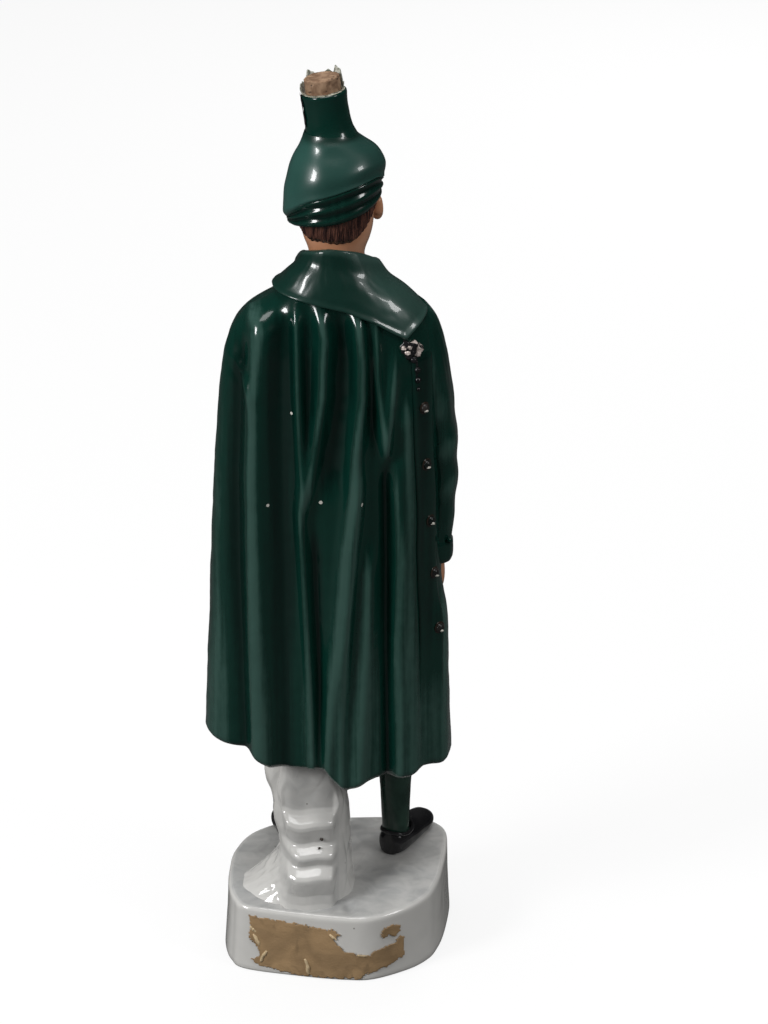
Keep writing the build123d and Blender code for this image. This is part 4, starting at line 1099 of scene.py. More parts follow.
def makeLimb(name, table, material, node, levels=60, knee=False):
    rings = []
    low, high = table[0][0], table[-1][0]
    for k in range(levels + 1):
        z = mix(low, high, k / levels)
        row = softAlong(table, z)
        ring = []
        for i in range(40):
            a = 2 * math.pi * i / 40
            calf = 0.09 * math.sin(a) * math.exp(-((z - 84) / 16) ** 2)
            cap = 0.12 * math.exp(-((z - 122) / 4.5) ** 2) * clamp(-math.sin(a)) if knee else 0.0
            r = row[3] * (1 + calf + cap) + 0.12 * rough(math.cos(a), math.sin(a), z * 0.06, 1.3)
            ring.append((row[1] + r * math.cos(a), row[2] + r * math.sin(a), z))
        rings.append(ring)
    place(ringMesh(name, rings), material, (node,))


shoeForm = {
    "length": 35.0,
    "heel": 7.0,
    "base": 33.4,
    "rows": (
        (0.0, 0.0, 2.6, 3.2, 7.8), (0.03, 0.0, 4.8, 5.4, 10.0), (0.1, 0.0, 6.3, 7.0, 11.0),
        (0.22, 0.0, 7.0, 7.4, 10.8), (0.34, 0.1, 6.9, 6.2, 9.8),
        (0.46, 0.3, 6.9, 4.8, 9.2), (0.6, 0.5, 6.7, 3.6, 8.8), (0.74, 0.6, 6.8, 3.0, 8.3),
        (0.87, 0.4, 5.9, 2.4, 7.2), (0.95, 0.1, 4.4, 1.8, 5.9), (1.0, 0.0, 1.6, 0.8, 3.4),
    ),
}


def makeShoe(name, ankle, turn, node, flip):
    form = shoeForm
    rings = []
    c, s = math.cos(turn), math.sin(turn)
    base = form["base"]

    def put(across, forward, up):
        x = ankle[0] + across * c + forward * s
        y = ankle[1] - forward * c + across * s
        return (x, y, base + up + max(0.0, 0.07 * forward))

    for k in range(60):
        t = k / 59
        row = softAlong(form["rows"], t)
        forward = form["length"] * t - form["heel"]
        ring = []
        for i in range(36):
            a = 2 * math.pi * i / 36
            ca, sa = math.cos(a), math.sin(a)
            wide = row[2] * math.copysign(abs(ca) ** 0.8, ca)
            up = row[4] * (0.5 + 0.5 * math.copysign(abs(sa) ** (0.75 if sa < 0 else 1.0), sa))
            if sa < -0.55:
                wide *= 1.05
            welt = 0.35 * math.exp(-((up - 1.4) / 0.5) ** 2)
            ring.append(put(wide * (1 + welt * 0.12) + row[1] * flip, forward, up))
        rings.append(ring)
    parts = [ringMesh(name, rings)]
    opening = []
    for k in range(41):
        t = 2 * math.pi * k / 40
        forward = 0.8 + 7.2 * math.cos(t) + (1.6 if math.cos(t) > 0 else 0) * math.cos(t)
        across = 6.3 * math.sin(t)
        up = 10.0 + 0.9 * math.cos(t) ** 2 - 0.6 * math.sin(t) ** 2 - (1.5 * clamp(math.cos(t)) ** 2)
        opening.append(put(across, forward, up))
    parts.append(tube(name, opening, [0.95] * 41, 10))
    tongue = [put(0, 8.4, 9.2), put(0, 7.6, 10.2), put(0, 6.4, 11.8), put(0, 5.6, 12.8)]
    parts.append(tube(name, tongue, [2.0, 2.2, 2.0, 1.0], 12))
    buckle = [
        put(-4.2, 12.5, 6.3), put(-2.4, 13.0, 8.0), put(0, 13.1, 8.5), put(2.4, 13.0, 8.0),
        put(4.2, 12.5, 6.3),
    ]
    parts.append(tube(name, buckle, [0.5, 0.8, 0.9, 0.8, 0.5], 10))
    place(joinPieces(name, parts), shoeBlack, (node,), levels=1)


makeLimb("rightHose", legForm["right"], hoseGreen, "right_stocking")
makeLimb("leftHose", legForm["left"], hoseGreen, "left_stocking")
makeLimb("rightKnee", legForm["rightKnee"], skinTan, "right_knee", 30, True)
makeLimb("leftKnee", legForm["leftKnee"], skinTan, "left_knee", 30, True)
makeShoe("rightShoe", (-29.2, -15.0), math.radians(-30), "right_shoe", -1)
makeShoe("leftShoe", (13.5, -15.0), math.radians(16), "left_shoe", 1)
print("legs made")

# head, face, hair and ears
headForm = {
    "rows": (
        (306, 11.2, 10.6, 10.0), (312, 11.8, 11.6, 10.6), (316, 11.3, 11.8, 12.4),
        (319, 11.9, 12.4, 17.6), (323, 13.4, 13.4, 19.0), (328, 14.6, 14.4, 19.6),
        (334, 15.0, 14.6, 19.4), (340, 15.0, 14.4, 19.6), (346, 14.2, 13.6, 18.4),
        (351, 12.4, 11.8, 16.4),
    ),
    "x": -2.9,
    "y": -2.0,
    "eye": (5.7, 334.5),
    "eyeTurn": 0.385,
    "eyeSize": (2.6, 1.7, 1.35),
    "irisSize": (1.05, 0.62, 1.05),
    "lipHeight": 322.6,
    "lips": ((0.75, 3.4, 0.65, 0.0), (0.85, 3.0, -0.75, 0.15)),
    "bumps": (
        ("brow", -5.6, 338.6, 4.4, 1.5, 1.1), ("brow", 5.6, 338.6, 4.4, 1.5, 1.1),
        ("socket", -5.8, 334.6, 3.6, 2.3, -2.1), ("socket", 5.8, 334.6, 3.6, 2.3, -2.1),
        ("noseBridge", 0, 335.0, 1.7, 4.0, 2.0), ("nose", 0, 330.6, 2.2, 3.4, 3.0),
        ("noseTip", 0, 328.4, 2.0, 1.5, 1.9), ("wing", -2.3, 328.2, 1.1, 1.1, 1.0),
        ("wing", 2.3, 328.2, 1.1, 1.1, 1.0),
        ("cheek", -7.6, 329.6, 3.6, 3.2, 0.7), ("cheek", 7.6, 329.6, 3.6, 3.2, 0.7),
        ("underNose", 0, 325.6, 1.0, 1.3, -0.4),
        ("upperLip", -1.5, 323.5, 2.3, 0.75, 1.0), ("upperLip", 1.5, 323.5, 2.3, 0.75, 1.0),
        ("lipLine", 0, 322.7, 3.9, 0.42, -0.9), ("lowerLip", 0, 321.7, 2.9, 0.85, 1.1),
        ("underLip", 0, 320.2, 3.0, 0.8, -0.9), ("chin", 0, 317.9, 3.4, 2.0, 1.7),
    ),
}


def headPoint(turn, z, offset=0.0, face=True):
    row = softAlong(headForm["rows"], z)
    c, s = math.cos(turn), math.sin(turn)
    x = row[1] * c
    y = row[2] * s if s >= 0 else row[3] * s
    if s < 0:
        x *= 1 - 0.36 * smooth(-s / 0.9) * smooth((327 - z) / 9) * smooth((z - 311) / 5)
    grow = offset
    if s < 0 and face:
        for _, bx, bz, wx, wz, height in headForm["bumps"]:
            grow += height * math.exp(-((x - bx) / wx) ** 2 - ((z - bz) / wz) ** 2)
    size = math.hypot(x, y) or 1
    k = smooth((-s - 0.3) / 0.3)
    ox = mix(x / size, 0.0, k)
    oy = mix(y / size, -1.0, k)
    return (headForm["x"] + x + ox * grow, headForm["y"] + y + oy * grow, z)


def makeHead():
    rings = []
    for k in range(150):
        z = mix(306, 351, k / 149)
        rings.append([headPoint(2 * math.pi * i / 220 + 0.001, z) for i in range(220)])
    place(ringMesh("head", rings), skinTan, ("head",))
    whites, irises, lids, brows = [], [], [], []
    form = headForm
    eyeX, eyeZ = form["eye"]
    for side in (-1, 1):
        x = form["x"] + side * eyeX
        p = headPoint(-math.pi / 2 + side * form["eyeTurn"], eyeZ)
        whites.append(blob("eyes", (x, p[1] + 0.55, eyeZ), form["eyeSize"], 0.0))
        irises.append(blob("irises", (x, p[1] - 0.62, eyeZ), form["irisSize"], 0.0))
        lid, brow = [], []
        for j in range(13):
            t = math.pi * j / 12
            lid.append((x + 2.9 * math.cos(t), p[1] - 0.75 * math.sin(t) - 0.15, 334.6 + 1.35 * math.sin(t)))
            t = math.pi * (0.08 + 0.84 * j / 12)
            bx, bz = side * (6.0 + 3.3 * math.cos(t)), 336.6 + 1.2 * math.sin(t)
            turn = -math.acos(bx / softAlong(form["rows"], bz)[1])
            brow.append((form["x"] + bx, headPoint(turn, bz)[1] - 0.1, bz))
        lids.append(tube("lids", lid, [0.2] + [0.42] * 11 + [0.2], 10))
        brows.append(tube("brows", brow, [0.15, 0.35, 0.45] + [0.5] * 7 + [0.45, 0.35, 0.15], 8))
    place(joinPieces("eyes", whites), eyeWhite)
    place(joinPieces("lids", lids), skinTan, levels=1)
    place(joinPieces("irises", irises), eyeDark)
    place(joinPieces("brows", brows), hairBrown)
    lips = []
    middle = form["lipHeight"]
    for height, width, dz, out in form["lips"]:
        points, radii = [], []
        for j in range(13):
            t = -1 + j / 6
            p = headPoint(-math.pi / 2 + t * 0.29, middle + dz * (1 - 0.6 * t * t))
            points.append((form["x"] + t * width, p[1] + 0.35 - out, middle + dz * (1 - 0.85 * t * t)))
            radii.append(max(0.12, height * (1 - t * t) ** 0.6))
        lips.append(tube("lips", points, radii, 12))
    place(joinPieces("lips", lips), lipTan, levels=1)


hairForm = {
    "low": 324.0, "top": 344.0, "rightRise": 14.0, "leftRise": 5.0, "thick": 1.35, "levels": 40,
    "count": 260,
}


def makeHair():
    form = hairForm
    rings = []
    levels, count = form["levels"], form["count"]
    for k in range(levels + 1):
        t = k / levels
        ring = []
        for i in range(count):
            turn = mix(-0.1, math.pi + 0.1, i / (count - 1))
            low = form["low"] + 0.25 * math.sin(7 * turn) + 0.2 * math.sin(31 * turn)
            rightRise = form["rightRise"] * smooth((turn - 1.95) / 1.05)
            low += rightRise + form["leftRise"] * smooth((0.8 - turn) / 0.7)
            z = mix(low, form["top"], t)
            strand = 0.16 * math.sin(61 * turn + 1.2 * math.sin(0.4 * z + 3 * turn))
            strand += 0.12 * math.sin(113 * turn + 1.5 * math.sin(0.6 * z))
            thick = form["thick"] * smooth(t / 0.1) * smooth(min(i, count - 1 - i) / 8)
            ring.append(headPoint(turn, z, 0.15 + thick + strand * smooth(t / 0.06), False))
        rings.append(ring)
    piece = ringMesh("hair", rings, closed=False, capStart=False, capEnd=False)
    place(piece, hairBrown, ("hair_back",))


# each ear: side, height of its middle, half height, reach from the head's middle, half width
earForm = {
    "ears": ((1, 329.8, 3.8, 14.0, 2.2), (-1, 333.4, 5.4, 16.4, 3.0)),
    "y": -6.6,
    "deep": 3.3,
    "dish": 0.9,
}


def makeEars():
    form = earForm
    parts = []
    for side, z, high, away, wide in form["ears"]:
        x = headForm["x"] + side * away
        y = form["y"]
        rings = []
        for k in range(1, 16):
            v = math.pi * k / 16
            ring = []
            for i in range(28):
                a = 2 * math.pi * i / 28
                d = Vector((math.sin(v) * math.cos(a), math.sin(v) * math.sin(a), math.cos(v)))
                dish = 0.0
                if side * d.x > 0:
                    dish = form["dish"] * math.exp(-((d.y + 0.1) / 0.42) ** 2 - ((d.z - 0.1) / 0.55) ** 2)
                lobe = 0.75 if d.z < -0.5 else 1.0
                px = x + wide * d.x - side * dish * 1.5
                ring.append((px, y + form["deep"] * d.y * lobe + 0.5 * d.z, z + high * d.z))
            rings.append(ring)
        parts.append(ringMesh("ears", rings))
    place(joinPieces("ears", parts), skinTan, ("ears",), levels=1)


makeHead()
makeHair()
makeEars()
print("head made")

# soft cap: crown with a rolled lower edge over a folded band
capForm = {
    "rows": (
        (324, 14.5, 18.5, 16.6, 16.6), (328, 17.3, 20.6, 19.2, 19.6), (332, 18.5, 21.1, 20.2, 20.6),
        (340, 18.2, 21.8, 21.2, 21.5), (344, 17.9, 22.5, 21.1, 21.4), (348, 17.2, 23.0, 20.6, 21.0),
        (352, 16.3, 22.8, 19.4, 19.8), (356, 14.7, 21.6, 17.4, 17.8), (360, 12.5, 18.9, 14.6, 15.0),
        (363, 11.3, 14.4, 12.8, 13.2), (365.4, 10.5, 11.4, 11.0, 11.2), (368, 9.6, 9.9, 9.8, 9.9),
    ),
    "y": -3.0,
    "crownEdge": (330.2, 334.8, 340.6, 343.8, 346.8, 348.4, 346.0, 343.6, 342.0, 341.0, 337.6, 332.6),
    "bandEdge": (329.4, 329.8, 331.2, 332.2, 334.4, 336.8, 339.2, 340.6, 339.8, 337.6, 334.4, 331.2),
    "crownPath": (
        (0.0, 7.0, 2.2), (0.0, 5.2, 1.0), (0.0, 3.8, 0.25), (0.0, 2.7, 0.0), (0.0, 1.8, 0.1), (0.0, 1.1, 0.5),
        (0.01, 0.55, 0.8), (0.03, 0.2, 0.8), (0.055, 0.05, 0.5),
    ),
    "bandLow": ((0.0, 5.0), (0.0, 3.4), (0.02, 2.6)),
    "bandHigh": ((1.0, 2.3), (1.06, 3.2), (1.08, 5.0), (1.08, 8.0)),
    "top": 366.6,
    "count": 240,
}


def capPoint(turn, z, inset=0.0):
    row = softAlong(capForm["rows"], z)
    c, s = math.cos(turn), math.sin(turn)
    side = (row[1] if c >= 0 else row[2]) - inset
    end = (row[3] if s >= 0 else row[4]) - inset
    return (side * c, capForm["y"] + end * s, z)


def capEdge(turn, heights):
    n = len(heights)
    f = (turn / (2 * math.pi)) % 1.0 * n
    i = int(f)
    u = f - i
    p0, p1, p2, p3 = (heights[(i + k - 1) % n] for k in range(4))
    square = (2 * p0 - 5 * p1 + 4 * p2 - p3) * u * u
    cube = (3 * p1 - p0 - 3 * p2 + p3) * u ** 3
    return 0.5 * (2 * p1 + (p2 - p0) * u + square + cube)


def makeCap():
    form = capForm
    count = form["count"]
    rings, shades = [], []
    path = [*form["crownPath"], *((t / 80, 0.0, 0.0) for t in range(7, 81))]
    for t, inset, lift in path:
        ring = []
        for i in range(count):
            turn = 2 * math.pi * i / count
            low = capEdge(turn, form["crownEdge"])
            z = mix(low, form["top"], t) + lift
            roll = 0.6 * math.exp(-((t - 0.06) / 0.08) ** 2)
            sag = 0.9 * math.exp(-((turn - 0.25) / 0.7) ** 2) * math.exp(-((t - 0.15) / 0.25) ** 2)
            right = smooth((turn - 1.2) / 1.2) * smooth((4.6 - turn) / 0.8)
            wrinkle = 0.3 * rough(math.cos(turn), math.sin(turn), z * 0.03, 0.9, 2)
            wrinkle *= 1 - smooth((t - 0.75) / 0.2)
            grow = (roll * mix(0.6, 1.0, right) + sag + wrinkle) * (1 - smooth((t - 0.8) / 0.15))
            under = (0.9 + 0.9 * right) * (1 - smooth(t / 0.42))
            ring.append(capPoint(turn, z, inset + under - grow))
            # painted light on the crown: lighter on the left as painted reflection, darker under the rolled
            # edge and towards the neck as painted shade
            left = smooth((1.5 - turn) / 1.6) + smooth((turn - 5.4) / 0.8)
            tone = 0.76 + 0.1 * grow + 0.2 * clamp(left) - 0.35 * smooth((t - 0.84) / 0.16)
            shades.append(clamp(tone - 0.5 * (1 - smooth((t + 0.03) / 0.07))))
        rings.append(ring)
    piece = ringMesh("capCrown", rings, capStart=False, capEnd=False, shades=shades)
    place(piece, crownGreen, ("hat_crown",))
    rings, shades = [], []
    path = [*form["bandLow"], *((t / 26, 1.9) for t in range(1, 26)), *form["bandHigh"]]
    for t, inset in path:
        ring = []
        for i in range(count):
            turn = 2 * math.pi * i / count
            low = capEdge(turn, form["bandEdge"])
            high = capEdge(turn, form["crownEdge"]) + 1.4
            z = mix(low, high, t)
            lobes = 0.95 * math.sin(math.pi * (2.55 * t + 0.12 * math.sin(turn + 1.0))) ** 2 if t < 1 else 0.0
            ring.append(capPoint(turn, z, inset - lobes))
            # painted shade in the band's creases, painted highlight on its rolls
            shades.append(clamp(0.05 + 0.5 * lobes))
        rings.append(ring)
    piece = ringMesh("capBand", rings, capStart=False, capEnd=False, shades=shades)
    place(piece, capGreen, ("hat_band",))


makeCap()
print("cap made")

# leaning neck, cork and torn seal
neckForm = {
    "root": (0.0, -3.0, 366.0),
    "lean": math.radians(8),
    "length": 17.1,
    "bore": 7.3,
    "count": 96,
    "profile": (
        (-1.6, 11.0), (0.0, 10.35), (1.5, 9.8), (3.5, 9.4), (6.0, 9.12), (10.0, 8.95), (14.0, 9.05),
        (15.6, 9.2), (16.5, 9.15), (17.0, 8.8), (17.15, 8.3),
    ),
    "corkStand": 6.0,
    "corkSeat": 11.5,
}


def neckSpot(r, turn, up):
    lean = neckForm["lean"]
    x, y = r * math.cos(turn), r * math.sin(turn)
    root = neckForm["root"]
    c, s = math.cos(lean), math.sin(lean)
    return (root[0] + x * c + up * s, root[1] + y, root[2] - x * s + up * c)


def makeNeck():
    form = neckForm
    turns = [2 * math.pi * i / form["count"] for i in range(form["count"])]
    rings = []
    for k in range(60):
        up = mix(form["profile"][0][0], form["profile"][-1][0], k / 59)
        r = softAlong(form["profile"], up)[1]
        ring = []
        for t in turns:
            wide = r + 0.07 * rough(math.cos(t), math.sin(t), up * 0.1, 1.4)
            ring.append(neckSpot(wide, t, up))
        rings.append(ring)
    for i, p in enumerate(rings[0]):
        rings[0][i] = tuple(Vector((p[0], p[1], max(p[2], 364.6))))  # stays on the cap's top
    place(ringMesh("neck", rings, capStart=False, capEnd=False), plainGreen, ("neck_spout",))
    lip = []
    bore = form["bore"]
    for r, up in (
        (8.55, 17.05), (8.3, 17.3), (7.9, 17.36), (7.5, 17.2), (7.32, 16.8), (bore, 12.0), (bore, 2.0),
    ):
        ring = []
        for t in turns:
            wide = r + 0.12 * noise.noise(Vector((3 * math.cos(t), 3 * math.sin(t), up)))
            high = up + 0.12 * noise.noise(Vector((2 * math.cos(t), 2 * math.sin(t), 5)))
            ring.append(neckSpot(wide, t, high))
        lip.append(ring)
    place(ringMesh("neckLip", lip, capStart=False, capEnd=False), bareClay)


def makeCork():
    rings = []
    length = neckForm["length"]
    stand, seat = neckForm["corkStand"], neckForm["corkSeat"]
    path = [(6.2, length - seat), (6.85, length - seat + 0.4), (6.95, length - seat + 2), (7.2, length - 4)]
    path += [(7.22, length + stand * t / 12) for t in range(0, 12)]
    top = length + stand
    path += [(6.9, top - 0.25), (6.3, top), (5.2, top + 0.02), (3.9, top), (2.5, top), (1.1, top)]
    for r, up in path:
        ring = []
        for i in range(110):
            t = 2 * math.pi * i / 110
            x, y = math.cos(t), math.sin(t)
            above = clamp((up - length) / 1.5)
            n = noise.noise(Vector((x * 3.1, y * 3.1, up * 0.9)))
            pit = max(0.0, noise.noise(Vector((x * r * 0.8, y * r * 0.8, up * 0.8 + 9))) - 0.28)
            edge = math.exp(-((up - length - stand + 0.6) / 1.2) ** 2)
            chipped = max(0.0, noise.noise(Vector((x * 2.3, y * 2.3, 4.4))) - 0.15)
            cut = above * (0.12 * n + 1.5 * pit + edge * 1.5 * chipped)
            deep = above * 0.7 * pit if up > top - 0.4 else 0.0
            wide = max(0.3, min(r, 7.22) - abs(cut) * (0.6 if r > 4 else 0.1))
            ring.append(neckSpot(wide, t, up - deep - above * 0.12 * n))
        rings.append(ring)
    place(ringMesh("cork", rings), corkBrown, ("cork_stopper",), body="stopper")


sealForm = {
    "inner": 7.75,
    "thick": 0.28,
    "rim": 17.3,
    "count": 240,
    "stripLow": 4.2,
    "stripHigh": 17.2,
    "stripRows": 22,
}


def makeSeal():
    form = sealForm
    inner, outer = form["inner"], form["inner"] + form["thick"]
    rings = [[], [], [], []]
    for i in range(form["count"]):
        t = 2 * math.pi * i / form["count"]
        c, s = math.cos(t), math.sin(t)
        behind = smooth((0.42 - s) / 0.9)
        tooth = 0.62 + 0.95 * noise.noise(Vector((c * 2.0, s * 2.0, 1.0)))
        tooth += 0.2 * noise.noise(Vector((c * 6, s * 6, 7.0)))
        high = mix(0.4, 8.4, behind) * clamp(tooth, 0.25, 1.05)
        flare = 1.0 + 1.4 * noise.noise(Vector((c * 3, s * 3, 2.2))) + 1.2 * clamp(c)
        torn = ((outer, 0.0), (outer + flare * 0.5, high), (inner + flare * 0.5, high), (inner, 0.0))
        for k, (r, up) in enumerate(torn):
            rings[k].append(neckSpot(r, t, form["rim"] + up))
    mids = []
    for low, top in ((0, 1), (3, 2)):
        rows = []
        for k in range(9):
            row = []
            for i in range(form["count"]):
                a, b = Vector(rings[low][i]), Vector(rings[top][i])
                q = a.lerp(b, k / 8)
                away = Vector((q.x - neckForm["root"][0], q.y + 3, 0)).normalized()
                q += away * (0.16 * noise.noise(q * 0.9) * k / 8)
                row.append(tuple(q))
            rows.append(row)
        mids.append(rows)
    piece = ringMesh("sealRemnant", mids[0] + mids[1][::-1], capStart=False, capEnd=False)
    place(piece, sealFilm, ("seal_remnant",))
    rows = []
    last = form["stripRows"] - 1
    for k in range(last + 1):
        up = mix(form["stripLow"], form["stripHigh"], k / last)
        row = []
        for j in range(12):
            wide = mix(0.34, 0.22, k / last) + 0.05 * noise.noise(Vector((up * 0.9, 2, 1)))
            turn = mix(-wide, wide, j / 11) + 0.12 + 0.03 * math.sin(up)
            r = 8.95 + 0.4 + (0.25 if j in (0, 11) else 0.0)
            r += 0.1 * noise.noise(Vector((up, j, 0)))
            row.append(neckSpot(r, turn, up))
        rows.append(row)
    piece = ringMesh("sealStrip", rows, closed=False, capStart=False, capEnd=False)
    place(piece, shoeBlack, ("seal_strip",))


makeNeck()
makeCork()
makeSeal()
print("neck made")

# plinth, rock stump and torn paper
plinthForm = {
    "outline": (
        (45.4, 0.0), (45.4, 14.0), (42.9, 24.7), (36.6, 32.5), (12.7, 38.7), (-6.7, 41.8),
        (-19.2, 41.2), (-34.4, 33.0), (-42.9, 24.7),
        (-47.0, 16.4), (-50.6, 3.0), (-53.6, -20.0), (-52.0, -33.0), (-42.0, -40.0), (-20.0, -41.6),
        (14.0, -39.5), (34.0, -30.0), (43.0, -15.0),
    ),
    "backHeight": 30.0,
    "frontHeight": 36.0,
    "draft": 1.6,
    "turns": 288,
    "foot": ((30, 0.045), (8.0, 0.045), (7.2, 0.03), (6.6, 0.0), (0.9, 0.0), (0.25, 0.012), (0.0, 0.04)),
    # edge rows: inset, drop and shade; the shade rises from the white sides to the painted grey shade of the
    # top
    "edge": ((1.75, -1.35, 0.1), (2.0, -0.85, 0.2), (2.45, -0.42, 0.4), (3.1, -0.12, 0.75), (3.9, 0.0, 1.0)),
}


def loopPoint(points, t):
    n = len(points)
    f = (t % 1.0) * n
    i = int(f)
    u = f - i
    p0, p1, p2, p3 = (Vector(points[(i + k - 1) % n]) for k in range(4))
    square = (2 * p0 - 5 * p1 + 4 * p2 - p3) * u * u
    cube = (3 * p1 - p0 - 3 * p2 + p3) * u ** 3
    return 0.5 * ((2 * p1) + (p2 - p0) * u + square + cube)


def plinthTop(y):
    form = plinthForm
    return mix(form["frontHeight"], form["backHeight"], (y + 42) / 84)


def makePlinth():
    form = plinthForm
    count = form["turns"]
    loop = [loopPoint(form["outline"], i / count) for i in range(count)]
    rings, shades = [], []

    def addRing(scaleIn, height, onTop, tone):
        ring = []
        for p in loop:
            reach = p.length
            q = p * ((reach - scaleIn) / reach)
            top = plinthTop(q.y)
            z = top + height if onTop else height * top
            sway = 0.35 * rough(q.x, q.y, z, 0.05)
            if onTop:
                inside = smooth(scaleIn / 12)
                z += inside * 0.8 * rough(q.x + 5, q.y, 1.0, 0.05, 1)
                ridge = math.exp(-((q.x + 8 + 0.12 * (q.y - 30)) / 2.4) ** 2) * smooth((q.y - 24) / 8)
                z -= 1.2 * ridge * inside
            else:
                q = q + q.normalized() * sway * 0.5 * math.sin(math.pi * clamp(height))
            ring.append((q.x, q.y, z))
            shades.append(tone)
        rings.append(ring)

    for r, h in form["foot"]:
        addRing(r, h, False, 0.0)
    for k in range(1, 22):
        t = k / 21
        addRing(form["draft"] * t + 0.25 * math.sin(math.pi * t), mix(0.05, 0.935, t), False, 0.08)
    for inset, drop, tone in form["edge"]:
        addRing(inset, drop, True, tone)
    # the top is painted grey as shade
    for k in range(1, 40):
        addRing(3.9 + 34.0 * (k / 39), 0.0, True, 1.0)
    piece = ringMesh("plinth", rings, shades=shades)
    place(piece, plinthWhite, ("base_plinth",))


stumpForm = {
    "x": 9.6,
    "y": 6.0,
    "low": 26,
    "top": 99.5,
    "sides": (
        (26, 33.5, 22.0), (30, 31.4, 21.6), (34, 25.4, 21.0), (38, 19.8, 20.4), (43, 15.0, 19.8),
        (49, 11.6, 19.2), (56, 11.6, 18.8), (64, 14.2, 18.4), (74, 16.0, 18.2), (84, 15.8, 17.6),
        (92, 14.8, 16.8), (104, 13.6, 15.4),
    ),
    "back": (
        (26, 35.6), (30, 34.6), (33, 33.6), (37, 32.9), (43.2, 33.3), (44.6, 33.2), (45.8, 32.4),
        (48.2, 28.8), (49.2, 28.3), (52.0, 29.2), (53.2, 29.0), (54.4, 28.2), (56.8, 24.6),
        (58.2, 23.9), (64.6, 25.0), (66.2, 24.8), (67.5, 23.9), (70.2, 19.8), (72.2, 18.7), (84, 18.4),
        (104, 16.6),
    ),
    "plain": ((26, 34.0), (34, 29.8), (44, 26.6), (56, 23.6), (68, 20.8), (84, 18.2), (104, 16.6)),
    "ledge": (-2.5, 20.0),
    "specks": ((3.4, 59.6, 0.7), (4.4, 56.2, 0.55)),
}


def makeStump():
    form = stumpForm
    count, levels = 260, 200
    rings, shades = [], []
    for k in range(levels + 1):
        z = mix(form["low"], form["top"], k / levels)
        row = softAlong(form["sides"], z)
        ledge, plain = along(form["back"], z)[1], softAlong(form["plain"], z)[1]
        ring = []
        for i in range(count):
            a = 2 * math.pi * i / count
            c, s = math.cos(a), math.sin(a)
            side = row[1] if c >= 0 else row[2]
            p = 2 / (mix(2.0, 2.7, smooth((z - 32) / 16)) if c > 0 else 2.7)
            x = form["x"] + side * math.copysign(abs(c) ** p, c)
            low, high = form["ledge"]
            sway = 1.3 * noise.noise(Vector((x * 0.1, z * 0.16, 3)))
            share = smooth((x + sway - low + 1.4) / 2.8) * smooth((high - x - sway + 1.8) / 3.6)
            uneven = 0.6 * noise.noise(Vector((x * 0.12, z * 0.05, 8)))
            reach = mix(plain, ledge + uneven, share) if s > 0 else 15.0
            y = form["y"] + (reach - form["y"]) * math.copysign(abs(s) ** p, s)
            cell = noise.voronoi(Vector((c * 1.3 + 4, s * 1.3, z * 0.045)))[0]
            facet = clamp(cell[1] - cell[0], 0, 0.6) * 2.2 - 0.8
            chunk = 1.5 * rough(c * 1.4, s * 1.4, z * 0.045, 1.0, 2)
            broken = 0.9 * rough(c * 3.1, s * 3.1, z * 0.11, 1.0, 3)
            chunk += broken * smooth((c - 0.1) / 0.5) * (1 - smooth((z - 42) / 10))
            calm = 1 - 0.75 * share * max(0.0, s)
            grow = (facet + chunk * (0.55 if c < 0 else 1.0)) * calm * smooth((z - 27) / 6)
            grow *= 1 + 0.8 * smooth((z - 70) / 8)
            x += grow * c
            y += grow * s * 0.8
            lift = 0.7 * math.sin(2 * a + 0.02 * z)
            ring.append((x, y, z + lift + 0.5 * share * math.sin(0.35 * x)))
            # painted shade: hollows and the faces under the ledges greyer; painted light: the right side (x
            # below -4) and the far left (x above 16) whiter
            shadeAmount = clamp(1.0 - 0.6 * grow)
            slope = clamp(abs(along(form["back"], z + 0.6)[1] - along(form["back"], z - 0.6)[1]) / 0.7)
            tone = 0.42 + 0.22 * shadeAmount * (1 - share) - (0.2 if x < -4 else 0.0)
            tone = tone + 0.32 * share * (1 - slope) - 0.4 * clamp((x - 16) / 8)
            shades.append(clamp(tone))
        rings.append(ring)
    place(ringMesh("rockStump", rings, shades=shades), rockWhite, ("rock_stump",))
    specks = []
    for x, z, r in form["specks"]:
        specks.append(blob("darkSpecks", (x, along(form["back"], z)[1] + 0.1, z), (r, 0.5, r), 0.5, x))
    place(joinPieces("darkSpecks", specks), eyeDark)


labelForm = {
    "main": (
        (34.9, 27.2), (28.9, 26.6), (12, 25.4), (-2.4, 24.0), (-4.5, 22.0), (-1.5, 19.6), (-6.7, 13.9),
        (-15.7, 12.1), (-21, 14.2), (-28.2, 15.5), (-30.4, 18.0), (-32.0, 17.0), (-31.6, 12.0),
        (-32.5, 8.1), (-23.9, 5.6), (-15.3, 3.4), (-13.2, 1.4), (0, 1.1), (12.7, 1.1), (29.1, 3.3),
        (34.3, 5.6), (29.6, 8.6), (30.8, 12.0), (35, 16.5), (33.8, 22),
    ),
    "scrap": (
        (-23.4, 24.4), (-29.6, 24.6), (-30.6, 20.8), (-27.4, 18.8), (-25.4, 20.6), (-22.8, 19.0),
        (-22.2, 22.2),
    ),
    "curls": (
        (31.4, 15.6, 3.0, 0.7, 0.5), (28.6, 8.2, 3.2, 0.6, -0.45), (9.6, 5.6, 3.8, 0.75, 0.25),
        (33.0, 20.6, 1.8, 0.5, 0.8), (-1.6, 20.8, 2.0, 0.45, 0.9), (-14.0, 12.4, 2.2, 0.4, 1.45),
    ),
    "step": 0.42,
    "lift": 0.3,
    "torn": 0.9,
    "thick": 0.22,
}


def insideLoop(points, x, z):
    hit = False
    n = len(points)
    for i in range(n):
        (x1, z1), (x2, z2) = points[i], points[(i + 1) % n]
        if (z1 > z) != (z2 > z) and x < (x2 - x1) * (z - z1) / (z2 - z1) + x1:
            hit = not hit
    return hit


